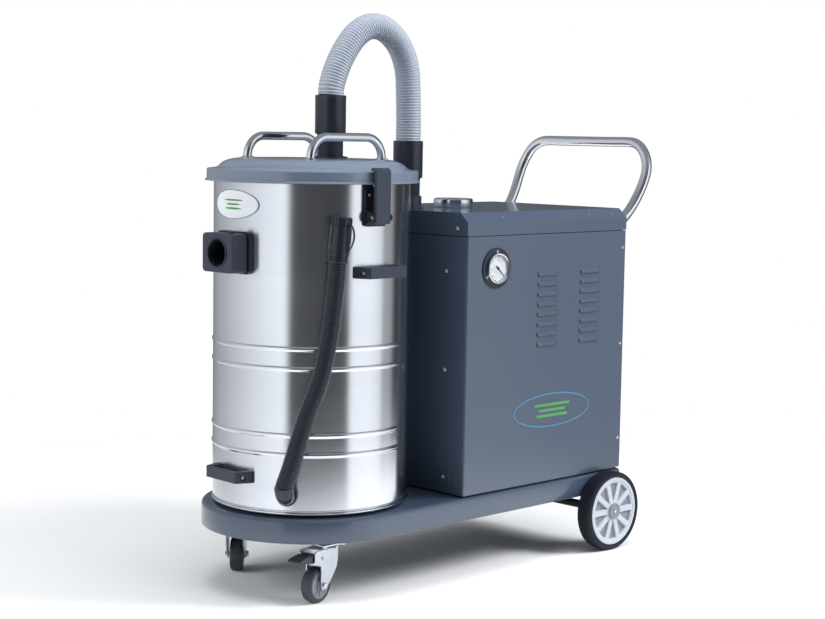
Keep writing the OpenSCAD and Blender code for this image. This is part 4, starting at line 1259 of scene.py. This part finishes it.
def make_push_handle():
    half = [Vector(p) for p in HANDLE_HALF]
    route = half + [MIRROR_X @ p for p in reversed(half)]
    bar = pipe(along(route, 6), HANDLE_R, 40, (0, 0, 1))
    piece("push_handle_tube", bar, "polished_steel", "trolley", ["push_handle"], sharp=60)
    wall_y = span("push_handle_flanges")[0].y
    flange_z = middle("push_handle_flanges").z
    foot = half[0]
    collar = lathe([(12.6, 3), (17, 3.4), (15.5, 6), (13.2, 9), (12.4, 9)], 48, closed=True)
    bolt = hex_bolt(5.2, 3.6, 4.6, 4.4, 3.2)
    for side_name, side in SIDES:
        x = side * foot.x
        plate = slab(44, 60, 7, (x, flange_z), wall_y, wall_y + 3.8, "Y")
        fittings = [placed(collar, at(x, wall_y, foot.z), FACE_Y)]
        fittings += [placed(bolt, at(x, wall_y, flange_z + rise), FACE_Y) for rise in (-24, 24)]
        replaces = right_only(side, "push_handle_flanges")
        piece(f"push_handle_flange_{side_name}", plate, "polished_steel", "trolley", replaces, bevel=0.6)
        piece(f"push_handle_bolts_{side_name}", joined(*fittings), "polished_steel", "trolley", bevel=0.3)


SPOKES = 10
POCKET_DEPTH = 8.5
RIM_R = 84.1
TYRE_R = 97
# A rim's face from hub to edge: radius, how far it lies back, and whether the pockets are cut there
RIM_ROWS = [
    (10.1, 0, 0), (20.5, 0, 0), (21, 1, 0), (25, 2, 0), (27, 2, 1), (29, 2, 1), (45, 2, 1), (66, 2, 1),
    (68.5, 2, 1), (70.5, 2, 0), (74, 2, 0), (76, 0.4, 0), (80, 0, 0), (83, 0.3, 0), (84, 1.4, 0),
]


def spoke_angles(radius):
    """Where a spoke's edge and a pocket's floor begin, as angles from the spoke's middle."""
    half_spoke = 6.2 + 2.2 * max(0.0, (40 - radius) / 20) + 1.5 * max(0.0, (radius - 60) / 14)
    reach = max(radius, 27)
    between = math.pi / SPOKES
    edge = math.asin(min(0.9, half_spoke / reach))
    foot = math.asin(min(0.95, (half_spoke + 2.2) / reach))
    return min(edge, between * 0.8), min(foot, between * 0.92), between


def rim_face(face, sign):
    """One side of a moulded rim, from hub to edge, with ten pockets between its spokes."""
    rings = []
    for radius, drop, pocket in RIM_ROWS:
        edge, foot, between = spoke_angles(radius)
        columns = (
            (0, 0), (edge, 0), (foot, pocket), (between, pocket), (2 * between - foot, pocket),
            (2 * between - edge, 0),
        )
        ring = []
        for k in range(SPOKES):
            start = TURN * (k + 0.5) / SPOKES
            for angle, low in columns:
                a = start + angle
                z = face - sign * (drop + POCKET_DEPTH * low)
                ring.append((radius * math.cos(a), radius * math.sin(a), z))
        rings.append(ring)
    return rings


def tyre_outline(width):
    """A tyre from its inner face at 0 out to its width, with three grooves in the tread."""
    shoulder = 8
    outline = [(RIM_R, 2), (86, 0.8), (88, 0.3), *arc((TYRE_R - shoulder, shoulder), shoulder, -86, 0, 7)]
    for z in (width * 0.36, width * 0.5, width * 0.64):
        outline += [(TYRE_R, z - 1.6), (TYRE_R - 1.2, z - 1.1), (TYRE_R - 1.2, z + 1.1), (TYRE_R, z + 1.6)]
    outline += arc((TYRE_R - shoulder, width - shoulder), shoulder, 0, 86, 7)
    return outline + [(88, width - 0.3), (86, width - 0.8), (RIM_R, width - 2)]


# An axle's cap and its tip: radius, and height past the wheel's outer face
CAP = [
    (0, 0), (8, 0), (10.1, -0.6), (20.2, -0.8), (20.2, 0.6), (19, 1.7), (16.5, 1.8), (15, 0.6), (8, 0.8),
    (6, 1.9), (0, 2.2),
]
TIP = [(0, 1.9), (3.6, 1.9), (2.4, 3.0), (0, 3.2)]


def make_wheels():
    low, high = span("right_tyre")
    width = high.x - low.x
    axle = middle("right_tyre")
    tyre = lathe(tyre_outline(width), 128, closed=True)
    rim = loft(rim_face(2, -1) + rim_face(width - 2, 1)[::-1], closed_along=True)
    # Painted shade: thin grey discs lie in the rim's pockets, darker than the rim, to darken the pocket
    # floors
    pocket_shade_discs = joined(*[washer(69, 26, depth, depth + 0.6) for depth in (9.6, width - 10.2)])
    cap = lathe(shifted(CAP, 0, width), 64)
    tip = lathe(shifted(TIP, 0, width), 24)
    for name, side in SIDES:
        move = Matrix.Identity(4) if side > 0 else MIRROR_X
        place = move @ at(low.x, axle.y, axle.z) @ FACE_X
        wheel = f"{name}_wheel"
        piece(wheel + "_tyre", placed(tyre, place), "tyre_black", wheel, [f"{name}_tyre"])
        piece(wheel + "_rim", placed(rim, place), "rim_white", wheel, [f"{name}_rim"], bevel=0.6, sharp=28)
        piece(wheel + "_pocket_shade", placed(pocket_shade_discs, place), "pocket_shade_and_hub_colour", wheel, slot="rim_white")
        replaces = right_only(side, "axle_end_caps")
        piece(f"{name}_axle_cap", placed(cap, place), "hub_grey", "trolley", replaces)
        piece(f"{name}_axle_tip", placed(tip, place), "polished_steel", "trolley", slot="hub_grey")


CROWN = 119.7
LEG_Y = 20
CASTER_TREAD_FOOT = [(30, -13), (33, -13.8)]
CASTER_HUB_HALF = [(4.1, -15.6), (12, -15.6), (13, -14.6), (13.5, -11.5), (26, -11), (28, -12.8), (30, -12.9)]


def make_caster(side_name):
    """A caster is drawn with its swivel on Z and its wheel trailing along X."""
    name = f"caster_{side_name}"
    swivel, roll, pin = (pivot(f"{name}_{joint}") for joint in ("swivel", "roll", "pedal"))
    turn = math.degrees(math.atan2(roll.y - swivel.y, roll.x - swivel.x))
    trail = math.hypot(roll.x - swivel.x, roll.y - swivel.y)
    pin_x = math.hypot(pin.x - swivel.x, pin.y - swivel.y)
    place = at(swivel.x, swivel.y, 0) @ about("Z", turn)
    axle = at(trail, 0, roll.z)
    make_caster_fork(name, place, trail, roll.z)
    make_caster_bolt(name, place @ axle)
    make_caster_roller(name, place @ axle @ FACE_Y, roll.z)
    make_caster_pedal(name, place, pin_x, pin.z)


def make_caster_fork(name, place, trail, radius):
    leg = [
        *shifted([(-22, -0.6), (-24, -3), (-24, -30)], 0, CROWN), (-19, 72), (0, 48),
        *shifted([(-14, -4), (-9, -9), (5, -9), (8, 2)], trail, radius), (trail + 8, 84), (60, 91),
        *shifted([(60, -5), (57, -1.4), (52, -0.6)], 0, CROWN),
    ]
    legs = [prism(leg, y - 1.5, y + 1.5, "Y") for y in (-LEG_Y, LEG_Y)]
    top = slab(54, 2 * LEG_Y + 3, 8, (3, 0), CROWN - 4, CROWN - 0.5)
    cup = lathe(shifted([(0, -5), (26, -5), (27, -4), (27, -1.6), (25, 0), (0, 0)], 0, CROWN), 56)
    fork = joined(*legs, top, cup, disc(5.9, CROWN - 7, CROWN + 11.5))
    piece(name + "_fork_pressing", placed(fork, place), "zinc", name, [name + "_fork"], bevel=0.6)


def make_caster_bolt(name, axle):
    end = placed(hex_bolt(8, 0, 1.2, 6.5, 4.4), at(0, 0, LEG_Y + 1.5))
    ends = [placed(end, about("X", turn)) for turn in (90, -90)]
    rod = placed(disc(3.9, -LEG_Y - 1, LEG_Y + 1), FACE_Y)
    bolt = placed(joined(rod, *ends), axle)
    piece(name + "_axle_bolt", bolt, "polished_steel", name, bevel=0.4, slot="zinc")


def make_caster_roller(name, axle, radius):
    tread = lathe(mirrored([*CASTER_TREAD_FOOT, *arc((radius - 6, -8), 6, -80, 0, 5)]), 80, closed=True)
    ribs = around(block((13, -1.4, -12.4), (27, 1.4, 12.4)), range(0, 360, 45))
    hub = joined(lathe(mirrored(CASTER_HUB_HALF), 64, closed=True), *ribs)
    roller = name + "_roller"
    piece(name + "_tread", placed(tread, axle), "caster_grey", roller, [name + "_wheel"])
    piece(name + "_hub", placed(hub, axle), "pocket_shade_and_hub_colour", roller, bevel=0.3, slot="caster_grey")


def make_caster_pedal(name, place, pin_x, pin_z):
    outline = [
        (pin_x - 5, 94), (pin_x - 5, 104), (38, 109.4), (50, 111.4), (62, 112), (84, 111), (98, 109),
        (105, 106.4), (107.6, 104), (107.4, 101.8), (104, 100.8), (96, 100), (84, 97), (70, 95), (46, 91),
    ]
    grips = [block((x, -14, 109), (x + 2, 14, 112.5 - (x - 76) * 0.07)) for x in (76, 81, 86, 91)]
    lever = placed(joined(prism(outline, -17, 17, "Y"), *grips), place)
    hinge = placed(disc(2.9, -24, 24), place, at(pin_x, 0, pin_z), FACE_Y)
    brake = name + "_brake"
    piece(name + "_pedal_lever", lever, "black_plastic", brake, [name + "_pedal"], bevel=1.6)
    piece(name + "_pedal_pin", hinge, "zinc", brake, slot="black_plastic")


def make_caster_plates():
    top = span("caster_plates")[1].z
    plate = slab(84, 72, 8, (0, 0), top - 3.9, top)
    race = shifted([(6.1, -12), (22, -12), (24, -10), (24, -3.5), (6.1, -3.5)], 0, top)
    bolts = [placed(hexagon(6, 4.5), at(sx * 33, sy * 27, top - 8.2)) for sx in (-1, 1) for sy in (-1, 1)]
    shape = joined(plate, lathe(race, 56, closed=True), *bolts)
    for side_name, side in SIDES:
        swivel = pivot(f"caster_{side_name}_swivel")
        mounted = placed(shape, at(swivel.x, swivel.y, 0))
        replaces = right_only(side, "caster_plates")
        piece(f"caster_{side_name}_top_plate", mounted, "zinc", "trolley", replaces, bevel=0.5)


# ---------------------------------------------------------------- parts that stay as the CAD has them

KEPT = {
    "frame_black": ["chassis_frame", "cabinet_base", "rear_axle"],
    "seal_rubber": ["drum_seat", "blower_mounts", "lid_gasket"],
    "cast_aluminium": ["blower_housing", "blower_motor", "blower_impeller"],
    "black_plastic": ["blower_pipework", "filter_collar", "lid_port"],
    "filter_cloth": ["filter_bag"],
    "float_white": ["float_ball"],
}


def dress_kept_parts():
    for finish, node_names in KEPT.items():
        for node_name in node_names:
            mesh = frame["nodes"][node_name].data
            mesh.materials.clear()
            mesh.materials.append(MATERIALS[finish])


# ---------------------------------------------------------------- the whole object

make_camera()
make_suction_hose()
make_drain_hose(make_drain_fittings())
make_drum()
make_side_handle("carry_handle_right", 0, CARRY_Z, ["carry_handles"])
make_side_handle("carry_handle_left", 180, CARRY_Z, [])
make_side_handle("tipping_handle_grip", FRONT_TURN, TIPPING_Z, ["tipping_handle"])
for latch_side in SIDES:
    make_latch(*latch_side)
for latch_side in SIDES:
    make_latch_base(*latch_side)
make_inlet()
make_drain_elbow()
make_drain_clip()
make_drum_badge()
make_lid()
make_lid_handles()
make_cuffs()
make_suction_port()
make_side_panel("right", 1)
make_side_panel("left", -1)
make_end_panels()
make_cover()
make_cabinet_screws()
make_exhaust()
make_gauge()
make_cabinet_badge()
make_switch_box()
make_mains_gland()
make_platform()
make_push_handle()
make_wheels()
make_caster("right")
make_caster("left")
make_caster_plates()
dress_kept_parts()

make_world()
make_softbox("front_light", (-1.6, -4.0, 2.6), (0, -0.3, 0.6), 2.4, 90)
make_softbox("side_light", (2.7, 2.5, 3.0), (0.2, 0.2, 0.8), 1.8, 240)
make_softbox("top_light", (0.4, -0.4, 4.0), (0, 0, 0.5), 3.0, 110)
make_floor()
bpy.context.scene.view_settings.view_transform = "Standard"
